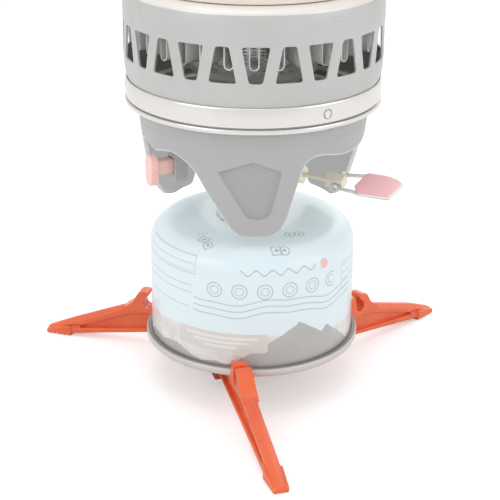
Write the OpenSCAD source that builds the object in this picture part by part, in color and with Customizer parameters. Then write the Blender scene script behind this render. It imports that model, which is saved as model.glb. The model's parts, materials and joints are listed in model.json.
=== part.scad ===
// Canister camping stove on a folding three-leg stand, with a heat-exchanger pot.
// Millimetres, +Z up, origin on the stove's axis at floor level.
// Azimuths are in degrees from -Y towards +X.

/* [Canister] */
// Radius of the canister's body
can_r = 45; // [40:0.5:46]
// Radius of the rolled steel rim at its foot
can_rim_r = 47.6; // [46.5:0.1:50]
// Height of the rolled rim
can_rim_h = 3.9; // [3:0.1:6]
// Height from the rim's underside to the shoulder's top
can_h = 55.8; // [50:0.5:90]
// Radius of the rounded shoulder
can_shoulder_r = 9; // [6:0.5:12]
// Sheet thickness
can_wall = 0.7; // [0.5:0.1:1.2]
// How far the domed top rises from the shoulder to the valve cup
dome_rise = 1.2; // [0.5:0.1:2.5]
// Outer radius of the valve cup's rolled edge
cup_r = 15.7; // [15:0.1:18]
// Depth of the valve cup's floor below the shoulder's top
cup_depth = 4; // [3:0.5:5]
// Outer radius of the threaded valve collar
collar_r = 5.55; // [5:0.05:6]
// Height of the collar above the valve cup's floor
collar_h = 9.2; // [8:0.1:12]

/* [Stand] */
// Height of the canister's rim above the floor
seat_z = 19; // [18.5:0.5:24]
// Direction that the front leg points in
front_az = 16.3; // [10:0.1:22]
// Direction that the right leg points in
right_az = 134.5; // [128:0.1:140]
// Direction that the left leg points in
left_az = -103.5; // [-108:0.1:-98]
// Sideways distance from the axis to the front leg
front_offset = 18.3; // [17:0.1:19.5]
// Sideways distance from the axis to the right leg
right_offset = 18.5; // [17:0.1:19.5]
// Sideways distance from the axis to the left leg
left_offset = 12; // [11:0.1:14]
// Distance along the front and right legs from the axis to the toe
foot_reach = 106; // [95:0.5:120]
// Distance along the left leg from the axis to the toe
left_foot_reach = 104; // [95:0.5:120]
// Width of a leg's top
leg_w = 5.8; // [5:0.1:6.4]
// Thickness of the web between a leg's side recesses
leg_web = 2.4; // [1.6:0.1:3.2]
// Width of the flange along a leg's lower edge
flange_w = 6.8; // [6:0.1:7.4]
// Height of that flange
flange_h = 2.2; // [1.5:0.1:3]
// Width of the rim hooks
hook_w = 7; // [6:0.1:7.6]
// Height of the hooks above the rim's underside
hook_h = 8; // [7:0.1:10]
// Thickness of the inner hook
prong_t = 2.6; // [2:0.1:3.4]
// Width of a foot pad at its inner end
pad_w = 8.4; // [7.4:0.1:8.6]
// Width of a foot pad at the toe
pad_tip_w = 6.6; // [6:0.1:7.4]
// Length of a foot pad
pad_len = 12.6; // [10:0.2:16]
// Height of the toe's end face
toe_h = 2.8; // [2:0.1:4]
// Thickness of each hub layer
hub_t = 3; // [2.4:0.1:3.2]
// Radius of the eyes around the pivots
eye_r = 4.4; // [3.8:0.1:4.6]
// Radius of the pivot rivets
rivet_r = 1.5; // [1.2:0.1:2]
// Distance between neighbouring legs when they are folded
fold_pitch = 9; // [8.8:0.1:9.6]
// How far the right toe passes the front toe when it is folded
fold_shift = 6; // [5:0.5:8]

/* [Burner base] */
// Gap from the canister's shoulder up to the base's three toes
base_gap = 5.3; // [4.5:0.1:10]
// Height of the plastic base from its toes to the burner bowl's floor
base_h = 41.7; // [40:0.1:48]
// How far the base's wall rises round the burner bowl
base_rise = 6; // [5:0.1:7]
// Radius at the toes
base_low_r = 39.2; // [37:0.2:42]
// Radius at the base's upper edge
base_top_r = 49.3; // [48.6:0.1:50]
// Inward lean of the base's wall for each millimetre of height
base_lean = 0.118; // [0.08:0.002:0.14]
// Height over which the toes curl inwards
base_curl_h = 25; // [20:0.5:30]
// Wall thickness
base_wall = 2.4; // [1.8:0.1:2.6]
// Direction of the front toe
base_az = 1.9; // [-5:0.1:8]
// Height of the left arch above the toes
left_arch_h = 35.4; // [30:0.2:36.4]
// Height of the right and rear arches above the toes
right_arch_h = 36.2; // [30:0.2:36.6]
// How far the middle of an arch hangs below its crowns
arch_dip = 2.7; // [0:0.1:4]
// Half the width of an arch at the toes
arch_half = 29.4; // [26:0.2:30]
// Depth of the shield-shaped recess in each leg
shield_depth = 1.1; // [0.4:0.1:1.4]
// Thickness of the floor under the burner bowl
base_floor_t = 2.2; // [1.8:0.1:2.4]

/* [Windscreen and burner] */
// How far the skirt stands out of the steel windscreen band
band_step = 0.4; // [0.1:0.1:1]
// Height of the band above the crease
band_h = 8.4; // [7.4:0.1:14]
// Height of the bowl from its floor to the crease
bowl_h = 9.2; // [8.8:0.1:11]
// How far the bead below the crease stands out of the band
bead_out = 0.3; // [0.1:0.1:0.6]
// Height of the bead
bead_h = 2; // [1.4:0.1:2.2]
// Sheet thickness of the burner bowl
bowl_t = 0.8; // [0.6:0.1:1.2]
// Radius of the burner head
head_r = 27; // [22:0.5:30]
// Height of the burner head's top above the bowl's foot
head_z = 23; // [18:0.2:25]
// Outer radius of the mixing tube
mix_r = 6.5; // [5.5:0.1:8]

/* [Valve] */
// Direction that the valve points in
valve_az = 61; // [55:0.5:70]
// Height of the valve's axis above the base's toes
valve_up = 17.9; // [16:0.1:19]
// Turn of the handle about the valve's axis
handle_roll = 26; // [0:1:45]
// Upward slope of the wire handle at rest
handle_lift = 3.5; // [0:0.5:8]
// Radius of the valve spindle
spindle_r = 1.1; // [0.9:0.1:1.6]
// Distance from the stove's axis to the middle of the handle's block
block_at = 40; // [39:0.2:42]
// Length of the block along the spindle
block_len = 8; // [6:0.1:8.4]
// Radius of the handle's wire
wire_r = 0.9; // [0.7:0.05:1.1]
// Distance from the stove's axis to the handle tab's inner end
tab_at = 50; // [49.6:0.2:54]
// Length of the tab
tab_len = 18; // [13:0.5:20]
// Width of the tab
tab_w = 13.8; // [12.4:0.2:16]
// Thickness of the tab
tab_t = 2.4; // [2.2:0.1:4]

/* [Igniter] */
// Direction of the igniter
igniter_az = -61; // [-68:0.5:-54]
// Height of the button's middle above the base's toes
igniter_up = 23.2; // [21:0.1:24]
// Height of the button
button_h = 13.6; // [10:0.2:15]
// Width of the button
button_w = 7; // [5.6:0.1:7.4]
// Thickness of the button's head
button_t = 4.2; // [3:0.1:5]
// Distance from the stove's axis to the button's face
button_face = 50.4; // [49:0.2:52]
// How far the button can be pressed
button_travel = 3; // [2:0.1:4]

/* [Heat-exchanger skirt] */
// How far the skirt stands out of the pot
skirt_out = 7.4; // [7:0.1:8.5]
// Sheet thickness of the skirt
skirt_t = 0.8; // [0.6:0.1:1.2]
// Height of the skirt above the windscreen's top
skirt_h = 36.4; // [32:0.2:44]
// Number of windows around the skirt
window_count = 26; // [16:2:28]
// Height of the windows
window_h = 14.5; // [12:0.1:16]
// Height of the windows above the windscreen's top
window_up = 9.8; // [8:0.1:12]
// Direction of the window in front
window_az = 1; // [-6:0.5:6]
// Wide side of a window
window_wide = 11.1; // [9:0.1:11.4]
// Narrow side of a window
window_narrow = 5.4; // [3.5:0.1:6]
// Number of folds in the fin ring
fin_count = 30; // [20:1:32]
// Width of a fold
fin_w = 6; // [4.5:0.1:6.4]
// Height of the fin ring
fin_h = 18.4; // [14:0.2:20]
// Sheet thickness of the fin ring
fin_t = 0.5; // [0.4:0.1:0.7]
// Inner radius of the fin ring
fin_in_r = 35; // [34:0.5:40]

/* [Pot] */
// Outer radius of the pot
pot_r = 47; // [44:0.2:48]
// Wall thickness of the pot
pot_wall = 1; // [0.8:0.1:1.5]
// Height of the pot
pot_h = 113; // [95:1:160]
// Thickness of the fabric sleeve
cosy_t = 2.5; // [1.5:0.1:3]
// Gap from the sleeve's top to the pot's rim
cosy_gap = 14; // [10:0.5:30]
// Height of the handle bracket
bracket_h = 58; // [50:1:64]
// How far the handles reach out
handle_reach = 46; // [38:1:48]
// Radius of the handles' wire
handle_r = 1.5; // [1.2:0.1:2]
// Radius of the handles' grips
grip_r = 3.6; // [3:0.1:4.5]

/* [Lid] */
// Thickness of the lid's plate
lid_t = 2.4; // [1.8:0.1:4]
// Depth of the lid's plug in the pot
lid_plug = 6; // [4:0.5:9]
// Radius of the lid's knob
knob_r = 9; // [7:0.5:12]
// Height of the lid's knob
knob_h = 8; // [6:0.5:12]

/* [Clearances] */
// Gap between pieces that only rest on each other
rest_gap = 0.1; // [0.05:0.05:0.2]
// Radial gap of a pin or shaft that turns
run_gap = 0.05; // [0.02:0.01:0.08]
// Gap between round pieces that slide apart
slide_gap = 0.3; // [0.25:0.05:0.4]

/* [Hidden] */
$fn = 96;

eps = 0.01;
steel = [0.72, 0.71, 0.70];
brass = [0.80, 0.68, 0.42];

// Heights that follow from the driving sizes
can_top = seat_z + can_h;
cup_z = can_top - cup_depth;
dome_z = can_top + dome_rise;
skirt_r = pot_r + skirt_out;
band_r = skirt_r - band_step;
base_z = can_top + base_gap;
band_z = base_z + base_h;
base_top_z = band_z + base_rise;
crease_z = band_z + bowl_h;
band_top = crease_z + band_h;
base_floor_z = band_z - base_floor_t;
valve_z = base_z + valve_up;
igniter_z = base_z + igniter_up;
head_top = band_z + head_z;
skirt_z = crease_z + 0.5 + rest_gap;
skirt_top = band_top + skirt_h;
window_z = band_top + window_up;
ledge_rise = 2.6;
cosy_z = skirt_top + ledge_rise + 0.2;
pot_z = skirt_top - 4;
pot_top = pot_z + pot_h;
fin_z = pot_z - fin_h;
cosy_top = pot_top - cosy_gap;
bracket_z = cosy_z + 14;

// Directions of the legs: e points outwards along a leg, n points to its side
function e_of(az) = [sin(az), -cos(az)];
function n_of(az) = [cos(az), sin(az)];

// Pivot about which a leg folds until it lies beside the front leg
function fold_pivot(az, offset, side, shift) =
    let (u = n_of(az) - n_of(front_az), v = e_of(front_az) - e_of(az),
         a = front_offset + side * fold_pitch - offset, k = u * u)
    a / k * u + shift / k * v;
left_pivot = fold_pivot(left_az, left_offset, 1, 0);
right_pivot = fold_pivot(right_az, right_offset, -1, fold_shift);

// Hub layers under the canister, from the lowest up
hub_z = 4.5;
left_arm_z = hub_z + hub_t + 0.3;
rivet_head_t = 1.2;
right_arm_z = left_arm_z + hub_t + rivet_head_t + 0.3;
leg_top = seat_z - rest_gap;

// Outward local X, sideways local Y
module aim(az) rotate([0, 0, az - 90]) children();

// Extrudes an outline drawn in local X and Z to a width along local Y
module slab(w) rotate([90, 0, 0]) linear_extrude(height = w, center = true) children();

// Extrudes an outline drawn in local Y and Z outwards from x0 to x1
module radial_prism(x0, x1)
    translate([x0, 0, 0]) rotate([90, 0, 90]) linear_extrude(height = x1 - x0) children();

module ring(r_out, r_in, z, h) translate([0, 0, z]) difference() {
    cylinder(r = r_out, h = h);
    translate([0, 0, -1]) cylinder(r = r_in, h = h + 2);
}

// Wound spring of round wire as one swept solid
module coil(r, wire, turns, z, h, steps = 14, sides = 6) {
    n = turns * steps;
    points = [for (i = [0:n], j = [0:sides - 1])
        let (a = 360 * i / steps, b = 360 * j / sides, q = r + wire * cos(b))
        [q * cos(a), q * sin(a), z + wire + (h - 2 * wire) * i / n + wire * sin(b)]];
    walls = [for (i = [0:n - 1], j = [0:sides - 1])
        let (k = (j + 1) % sides)
        [i * sides + j, i * sides + k, (i + 1) * sides + k, (i + 1) * sides + j]];
    start = [for (j = [sides - 1:-1:0]) j];
    end = [for (j = [0:sides - 1]) n * sides + j];
    polyhedron(points = points, faces = concat(walls, [start, end]));
}

// ---- Stand ----

leg_slope = 0.1366;
pad_rise = 1;
kink_back = 14.5;
kink_z = 8.7;
root_out = 17.6;
root_z = seat_z - 0.5;

// Distance along a leg at which it meets the canister's rim
function rim_at(offset) = sqrt(pow(can_rim_r + slide_gap, 2) - pow(offset, 2));
function under_z(s, reach) = pad_rise + (reach - pad_len - s) * leg_slope;

module leg_outline(offset, reach, inner) {
    s = rim_at(offset);
    top = seat_z + hook_h;
    polygon([
        [reach, 0], [reach - 0.4, toe_h], [reach - kink_back, kink_z],
        [s + root_out, root_z], [s + 13, root_z + 3.4], [s + 10.6, top - 0.9],
        [s + 9.2, top], [s + 6.8, top + 0.2], [s + 5.4, top - 0.6], [s + 5.3, top - 1.9],
        [s + 7.4, top - 3], [s + 8.3, top - 5.1], [s + 7.7, seat_z + 0.7],
        [s + 5.9, seat_z - 0.3], [s + 4.2, seat_z + 0.5], [s + 3.1, seat_z + 2.2],
        [s + prong_t, top - 1.3], [s + prong_t - 0.8, top], [s - 2.6, top],
        [s - 2.6, leg_top], [inner, leg_top], [inner, under_z(inner, reach)],
        [reach - pad_len, pad_rise], [reach - pad_len, 0]
    ]);
}

// Long triangular recess that leaves only the web
module leg_recess(offset, reach, inner) {
    s = rim_at(offset);
    tip = reach - 17.4;
    polygon([
        [tip, 4.2], [tip + 0.6, 4.8], [tip, 5.4], [s + 16, root_z - 3.9],
        [s + 5, leg_top - 3], [inner, leg_top - 2.2],
        [inner, under_z(inner, reach) + flange_h / 2], [s, under_z(s, reach) + flange_h / 2]
    ]);
}

module leg(az, offset, reach, block_in, block_out, block_z) aim(az) translate([0, -offset, 0]) {
    s = rim_at(offset);
    recess_in = block_out + 4;
    difference() {
        union() {
            difference() {
                slab(leg_w) leg_outline(offset, reach, block_in);
                for (m = [-1, 1]) translate([0, m * (leg_web / 2 + 5), 0])
                    slab(10) leg_recess(offset, reach, recess_in);
            }
            slab(flange_w) polygon([
                [block_in, under_z(block_in, reach)], [reach - pad_len, pad_rise],
                [reach - pad_len, pad_rise + flange_h],
                [block_in, under_z(block_in, reach) + flange_h]
            ]);
            intersection() {
                slab(hook_w) leg_outline(offset, reach, block_in);
                translate([s - 3, -hook_w, leg_top - 3]) cube([root_out - 0.6, 2 * hook_w, 20]);
            }
            intersection() {
                slab(pad_w) leg_outline(offset, reach, block_in);
                linear_extrude(height = 20) polygon([
                    [reach - pad_len, -pad_w / 2], [reach + 1, -pad_tip_w / 2],
                    [reach + 1, pad_tip_w / 2], [reach - pad_len, pad_w / 2]
                ]);
            }
            translate([block_in, -flange_w / 2, block_z])
                cube([block_out - block_in, flange_w, leg_top - block_z]);
        }
        for (i = [0:3]) translate([reach - 2.6 - i * 2.6, 0, 0]) rotate([90, 0, 0])
            cylinder(r = 0.55, h = 2 * pad_w, center = true, $fn = 24);
        translate([0, offset, leg_top]) cylinder(r = can_rim_r + slide_gap, h = 30);
    }
}

// Arm from a leg's block to its pivot eye, in the leg's own frame
module fold_arm(az, offset, pivot, z, x_half) aim(az) {
    px = pivot * e_of(az);
    py = pivot * n_of(az);
    difference() {
        union() {
            translate([px, py, z]) cylinder(r = eye_r, h = hub_t);
            translate([px - x_half, -offset, z]) cube([2 * x_half, py + offset, hub_t]);
        }
        translate([px, py, z - 1]) cylinder(r = rivet_r + run_gap, h = hub_t + 2);
    }
}

arm_half = 3.6;

module stand_left_leg() color([0.92, 0.36, 0.16]) {
    x = left_pivot * e_of(left_az);
    union() {
        leg(left_az, left_offset, left_foot_reach, x - 4.4, x + 4.4, left_arm_z);
        fold_arm(left_az, left_offset, left_pivot, left_arm_z, arm_half);
    }
}

module stand_right_leg() color([0.92, 0.36, 0.16]) {
    x = right_pivot * e_of(right_az);
    union() {
        leg(right_az, right_offset, foot_reach, x - 4.4, x + 4.4, right_arm_z);
        fold_arm(right_az, right_offset, right_pivot, right_arm_z, arm_half);
    }
}

module stand_front_leg() color([0.92, 0.36, 0.16]) {
    left = [left_pivot * e_of(front_az), left_pivot * n_of(front_az)];
    right = [right_pivot * e_of(front_az), right_pivot * n_of(front_az)];
    block_in = left[0] + eye_r + 0.4;
    union() {
        leg(front_az, front_offset, foot_reach, block_in, block_in + 8, hub_z);
        aim(front_az) translate([0, 0, hub_z]) difference() {
            linear_extrude(height = hub_t) union() {
                polygon([
                    [block_in, -front_offset - flange_w / 2],
                    [block_in + 8, -front_offset - flange_w / 2],
                    [block_in + 8, -front_offset + flange_w / 2 + 2],
                    [right[0] + eye_r, right[1]], [right[0], right[1]],
                    [left[0] - eye_r, left[1]]
                ]);
                translate(left) circle(r = eye_r);
                translate(right) circle(r = eye_r);
            }
            for (p = [left, right]) translate([p[0], p[1], -1])
                cylinder(r = rivet_r + run_gap, h = hub_t + 2);
        }
    }
}

module rivet(p, z0, z1) translate([p[0], p[1], 0]) {
    head_r = rivet_r + 1.3;
    translate([0, 0, z0 - rivet_head_t]) cylinder(r = head_r, h = rivet_head_t - 0.1);
    translate([0, 0, z0 - rivet_head_t]) cylinder(r = rivet_r, h = z1 - z0 + 2 * rivet_head_t);
    translate([0, 0, z1 + 0.1]) cylinder(r = head_r, h = rivet_head_t - 0.1);
}

module stand_rivets() color(steel) {
    rivet(left_pivot, hub_z, left_arm_z + hub_t);
    union() {
        rivet(right_pivot, hub_z, right_arm_z + hub_t);
        translate([right_pivot[0], right_pivot[1], hub_z + hub_t + 0.1])
            cylinder(r = rivet_r + 1.3, h = right_arm_z - hub_z - hub_t - 0.2);
    }
}

// ---- Canister ----

// Half section of the canister, set in by a distance from its outer face
module can_section(inset) difference() {
    union() {
        translate([0, seat_z + can_rim_h]) square([can_r - inset, can_h - can_rim_h - can_shoulder_r]);
        polygon([
            [0, seat_z + can_rim_h], [can_r - can_shoulder_r, seat_z + can_rim_h],
            [can_r - can_shoulder_r, can_top - inset], [cup_r, dome_z - inset], [0, dome_z - inset]
        ]);
        translate([can_r - can_shoulder_r, can_top - can_shoulder_r])
            circle(r = can_shoulder_r - inset);
    }
    translate([-can_r, 0]) square([can_r, 2 * can_top]);
}

cup_t = 1;
cup_hole_r = cup_r - 1;
neck_r = 7.7;

module canister_shell() color([0.74, 0.87, 0.93]) rotate_extrude() difference() {
    can_section(0);
    difference() {
        translate([0, -eps]) can_section(can_wall);
        square([cup_hole_r, 0.1]);
    }
    translate([-1, can_top - 3]) square([cup_hole_r + 1, dome_rise + 6]);
}

module canister_base() color(steel) rotate_extrude() {
    rim_in = can_r - can_wall - 1.2;
    bead = can_rim_h / 2;
    translate([can_rim_r - bead, seat_z + bead]) circle(r = bead);
    polygon([
        [rim_in, seat_z + 0.6], [rim_in + 0.6, seat_z], [can_rim_r - bead, seat_z],
        [can_rim_r - bead, seat_z + can_rim_h], [rim_in, seat_z + can_rim_h]
    ]);
    polygon([
        [rim_in + 0.2, seat_z + can_rim_h - 1], [rim_in + 0.2, seat_z + can_rim_h],
        [22, seat_z + can_rim_h + 6], [0, seat_z + can_rim_h + 7],
        [0, seat_z + can_rim_h + 6.2], [22, seat_z + can_rim_h + 5.2]
    ]);
}

collar_in_r = collar_r - 1.3;
curl_z = dome_z + rest_gap;
cup_in_r = cup_hole_r - 1.3;

module canister_valve_cup() color(steel) rotate_extrude() {
    polygon([
        [collar_in_r, cup_z], [cup_hole_r - rest_gap, cup_z], [cup_hole_r - rest_gap, curl_z],
        [cup_r, curl_z], [cup_r, curl_z + 0.9], [cup_r - 0.5, curl_z + 1.4],
        [cup_in_r + 0.5, curl_z + 1.4], [cup_in_r, curl_z + 0.9], [cup_in_r, cup_z + cup_t],
        [collar_r, cup_z + cup_t], [collar_r, cup_z + collar_h - 0.6],
        [collar_r - 0.6, cup_z + collar_h], [collar_in_r, cup_z + collar_h]
    ]);
    polygon([
        [collar_in_r, cup_z - 9], [neck_r, cup_z - 9], [neck_r, cup_z + 0.2], [neck_r - 1, cup_z + 0.2],
        [neck_r - 1, cup_z - 8], [collar_in_r, cup_z - 8]
    ]);
    polygon([
        [1.2, cup_z - 9.6], [collar_in_r + 1, cup_z - 9.6], [collar_in_r + 1, cup_z - 8.8],
        [1.2, cup_z - 8.8]
    ]);
}

pin_r = 1.3;
seal_z = cup_z + collar_h - 4;

module canister_valve_seal() color([0.1, 0.1, 0.1]) ring(collar_in_r - 0.02, pin_r + 0.2, seal_z, 1.6);

module canister_valve_pin() color(brass) {
    translate([0, 0, cup_z - 3]) cylinder(r = pin_r, h = seal_z + 2.6 - cup_z + 3);
    translate([0, 0, seal_z - 1.8]) cylinder(r = collar_in_r - 0.5, h = 1.6);
}

module canister_valve_spring() color(steel)
    coil(2.6, 0.35, 5, cup_z - 8.7, seal_z - 1.9 - cup_z + 8.7);

// ---- Burner base ----

base_curl = (base_top_r - base_lean * (base_top_z - base_z) - base_low_r) / pow(base_curl_h, 2);

// Outer radius of the base at a height: a cone whose toes curl inwards
function base_r_at(z) = base_top_r - base_lean * (base_top_z - z)
    - base_curl * pow(max(0, base_z + base_curl_h - z), 2);

// Solid of the base's outer face, set in by a distance
module base_cone(inset, z0, z1) {
    steps = 8;
    curl = [for (i = [0:steps]) z0 + (base_z + base_curl_h - z0) * i / steps];
    rotate_extrude() polygon(concat(
        [[0, z0]], [for (z = concat(curl, [z1])) [base_r_at(z) - inset, z]], [[0, z1]]));
}

// Opening between two toes: its crowns stand a distance in from the upper corners
module arch(arch_h, top_half, ease, drop) {
    z = base_z;
    crown = top_half - ease;
    half = [
        [arch_half + 12, z - 2], [arch_half + 2, z - eps], [arch_half, z + 2.2],
        [(arch_half + top_half) / 2 + 0.6, z + (arch_h - drop) * 0.6], [top_half, z + arch_h - drop],
        [top_half - ease * 0.18, z + arch_h - drop * 0.5], [top_half - ease * 0.5, z + arch_h - drop * 0.18],
        [crown, z + arch_h], [crown / 2, z + arch_h - arch_dip * 0.65], [0, z + arch_h - arch_dip]
    ];
    polygon(concat(half, [for (i = [len(half) - 2:-1:0]) [-half[i][0], half[i][1]]]));
}

left_top_half = 23.1;
right_top_half = 28.7;

module shield() {
    z = base_z;
    polygon([
        [-1.3, z + 35.5], [-15.5, z + 30.2], [-14.4, z + 28.2], [-5, z + 11.4], [-3, z + 9.2],
        [1, z + 8.6], [4.2, z + 9.4], [6.4, z + 12], [10.3, z + 29], [10.4, z + 30.9]
    ]);
}

screw_at = 38;
screw_r = 1.5;
screw_azs = [for (i = [0:2]) base_az + 120 * i];

module base_shell() color([0.71, 0.71, 0.71]) difference() {
    union() {
        difference() {
            base_cone(0, base_z, base_top_z);
            base_cone(base_wall, base_z - eps, base_top_z + eps);
        }
        translate([0, 0, base_floor_z])
            cylinder(r = base_r_at(base_floor_z) - base_wall + 0.5, h = base_floor_t);
        for (a = screw_azs) aim(a) translate([screw_at, 0, base_floor_z - 4])
            cylinder(r = 4, h = band_z - base_floor_z + 4);
    }
    aim(base_az - 60) radial_prism(20, 60) arch(left_arch_h, left_top_half, 12, 7);
    aim(base_az + 60) radial_prism(20, 60) arch(right_arch_h, right_top_half, 5, 5.4);
    aim(base_az + 180) radial_prism(20, 60) arch(right_arch_h, right_top_half, 5, 5.4);
    for (a = screw_azs) aim(a) intersection() {
        radial_prism(20, 60) shield();
        difference() {
            base_cone(-2, base_z, band_z);
            base_cone(shield_depth, base_z - 1, band_z + 1);
        }
    }
    translate([0, 0, base_floor_z - 1]) cylinder(r = mix_r + 3, h = base_floor_t + 2);
    for (a = screw_azs) aim(a) translate([screw_at, 0, base_floor_z - 1])
        cylinder(r = screw_r + run_gap, h = 20, center = true);
    aim(igniter_az) translate([insulator_at, 0, base_floor_z - 1])
        cylinder(r = insulator_r + run_gap, h = base_floor_t + 2);
    for (s = [-1, 1]) aim(valve_az) translate([bracket_at, s * bracket_half, base_floor_z - 1])
        cylinder(r = screw_r + run_gap, h = base_floor_t + 2);
}

// Pan-head screws that hold the bowl and the valve's bracket
module base_screws() color(steel) {
    for (a = screw_azs) aim(a) translate([screw_at, 0, 0]) {
        translate([0, 0, base_floor_z - 6.4]) cylinder(r = screw_r, h = band_z - base_floor_z + 8);
        translate([0, 0, base_floor_z - 6.4]) cylinder(r = screw_r + 1.4, h = 2.3);
    }
    for (s = [-1, 1]) aim(valve_az) translate([bracket_at, s * bracket_half, 0]) {
        translate([0, 0, foot_z - 2]) cylinder(r = screw_r, h = base_floor_z + base_floor_t - foot_z + 2);
        translate([0, 0, foot_z - 2]) cylinder(r = screw_r + 1.2, h = 1.9);
    }
}

// ---- Windscreen, burner ----

pan_r = base_r_at(band_z) - base_wall - slide_gap;
flange_z = base_top_z + rest_gap;

// Half section of the bowl and windscreen band, set in by the sheet's thickness
module bowl_section(t) {
    out = band_r - t;
    z = band_z + t;
    polygon([
        [0, z], [pan_r - 3 - t, z], [pan_r - 1 - t, z + 1], [pan_r - t, z + 3],
        [pan_r - t, flange_z + t], [out - 1.6, flange_z + t], [out - 0.4, flange_z + t + 0.6],
        [out, flange_z + t + 1.6], [out, crease_z - 0.5], [out - 0.5, crease_z], [out, crease_z + 0.5],
        [out, band_top + t * 5], [0, band_top + t * 5]
    ]);
}

module burner_bowl() color([0.89, 0.88, 0.87]) difference() {
    rotate_extrude() union() {
        difference() {
            bowl_section(0);
            bowl_section(bowl_t);
            translate([-1, band_z - 1]) square([mix_r + 1.6, 6]);
        }
        polygon([
            [band_r - 0.6, crease_z - 0.5 - bead_h], [band_r + bead_out - 0.2, crease_z - 0.4 - bead_h],
            [band_r + bead_out, crease_z - bead_h], [band_r + bead_out, crease_z - 0.9],
            [band_r + bead_out - 0.3, crease_z - 0.5], [band_r - 0.6, crease_z - 0.5]
        ]);
    }
    for (a = screw_azs) aim(a) translate([screw_at, 0, band_z - 1])
        cylinder(r = screw_r + run_gap, h = bowl_t + 2);
    aim(igniter_az) translate([insulator_at, 0, band_z - 1])
        cylinder(r = insulator_r + run_gap, h = bowl_t + 2);
    for (a = vent_azs) aim(a) translate([28, 0, band_z - 1]) cylinder(r = 3, h = bowl_t + 2);
    for (a = dimple_azs) aim(a) translate([band_r + 1.6, 0, dimple_z]) sphere(r = 2.1);
}

dimple_azs = [for (i = [0:2]) 32.5 + 120 * i];
dimple_z = crease_z + 4.1;
vent_azs = [for (i = [0:11]) base_az + 15 + 30 * i];

mix_z = valve_z + 12;
neck_z = band_z + 2;

module mixing_tube() color(steel) difference() {
    union() {
        translate([0, 0, mix_z]) cylinder(r = mix_r, h = neck_z - mix_z + 3);
        translate([0, 0, mix_z]) cylinder(r = mix_r + 1.5, h = 3);
    }
    translate([0, 0, mix_z - 1]) cylinder(r = mix_r - 1, h = neck_z - mix_z + 6);
    for (i = [0:3]) rotate([0, 0, 45 + 90 * i]) translate([0, 0, mix_z + 6]) rotate([0, 90, 0])
        cylinder(r = 2, h = 12);
}

module gas_jet() color(brass) difference() {
    union() {
        translate([0, 0, valve_z + 7.1]) cylinder(r = 3.6, h = 3, $fn = 6);
        translate([0, 0, valve_z + 7.1]) cylinder(r = 2, h = 7);
    }
    translate([0, 0, valve_z + 6]) cylinder(r = 0.5, h = 10);
}

module burner_head() color(steel) rotate_extrude() polygon([
    [mix_r + run_gap, neck_z], [mix_r + 1.2, neck_z], [mix_r + 2.4, neck_z + 4],
    [head_r - 3, head_top - 4], [head_r, head_top - 2.5], [head_r, head_top],
    [head_r - 0.8, head_top], [head_r - 0.8, head_top - 2], [head_r - 3.6, head_top - 3.2],
    [mix_r + 2, neck_z + 4.9], [mix_r + run_gap, neck_z + 3.2]
]);

grid_rings = [[5, 8], [10.4, 16], [15.8, 24], [21.2, 32]];

module burner_grid() color(steel) difference() {
    translate([0, 0, head_top - 1.9]) cylinder(r = head_r - 1, h = 1);
    for (g = grid_rings, i = [0:g[1] - 1]) if (g[0] < head_r - 3)
        rotate([0, 0, 360 * i / g[1]]) translate([g[0], 0, head_top - 3])
            cylinder(r = 1.1, h = 4, $fn = 16);
}

// ---- Valve ----

collar_top = cup_z + collar_h;
nut_low = cup_z + cup_t + 0.8;
body_r = 7.5;
body_z = collar_top + 2.2;
boss_r = 4.4;
boss_end = 20;
bracket_at = 12;
bracket_half = 13;
wall_at = 9;
foot_z = base_floor_z - 1.6;

module valve_body() color(brass) difference() {
    union() {
        translate([0, 0, body_z]) cylinder(r = body_r, h = valve_z + 7 - body_z);
        translate([0, 0, nut_low + 5]) cylinder(r = 7, h = body_z - nut_low - 5 + eps);
        aim(valve_az) translate([0, 0, valve_z]) rotate([0, 90, 0])
            cylinder(r = boss_r, h = boss_end);
        aim(valve_az) translate([bracket_at - 4, 0, 0]) {
            translate([0, -wall_at, valve_z - 1]) cube([8, 2 * wall_at, 2]);
            for (m = [-1, 1]) {
                translate([0, m * wall_at - 0.8, valve_z - 1]) cube([8, 1.6, foot_z + 2.5 - valve_z]);
                translate([0, m * (wall_at + 4) - 4, foot_z]) cube([8, 8, 1.5]);
            }
        }
    }
    aim(valve_az) translate([8, 0, valve_z]) rotate([0, 90, 0])
        cylinder(r = spindle_r + run_gap, h = boss_end);
    translate([0, 0, body_z + 1]) cylinder(r = 1.5, h = 40);
    translate([0, 0, nut_low]) cylinder(r = collar_r + run_gap, h = collar_top - nut_low + 0.3);
    translate([0, 0, collar_top - 1]) cylinder(r = 1, h = 8);
    translate([0, 0, collar_top - 1]) cylinder(r = 5, h = 2.8);
    for (s = [-1, 1]) aim(valve_az) translate([bracket_at, s * bracket_half, foot_z - 2])
        cylinder(r = screw_r + run_gap, h = 6);
}

// Knurled ring that screws down on the canister
module connector_collar() color([0.16, 0.16, 0.17]) difference() {
    translate([0, 0, nut_low]) cylinder(r = 12, h = 8.4);
    translate([0, 0, nut_low + 5 - 0.1]) cylinder(r = 7 + run_gap, h = 10);
    translate([0, 0, nut_low - 1]) cylinder(r = collar_r + run_gap, h = 10);
    for (i = [0:35]) rotate([0, 0, 10 * i]) translate([12.2, 0, nut_low - 1])
        cylinder(r = 0.6, h = 12, $fn = 4);
}

module connector_seal() color([0.1, 0.1, 0.1]) ring(4.9, 1.6, collar_top + 0.1, 1.4);

module packing_nut() color(brass) aim(valve_az) translate([boss_end + 0.05, 0, valve_z])
    rotate([0, 90, 0]) difference() {
        cylinder(r = 4.3, h = 5, $fn = 6);
        translate([0, 0, -1]) cylinder(r = spindle_r + run_gap, h = 8);
    }

block_in = block_at - block_len / 2;
block_w = 5.6;
hinge_at = block_at + 1;
hinge_half = block_w / 2 + 0.2;

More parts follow.
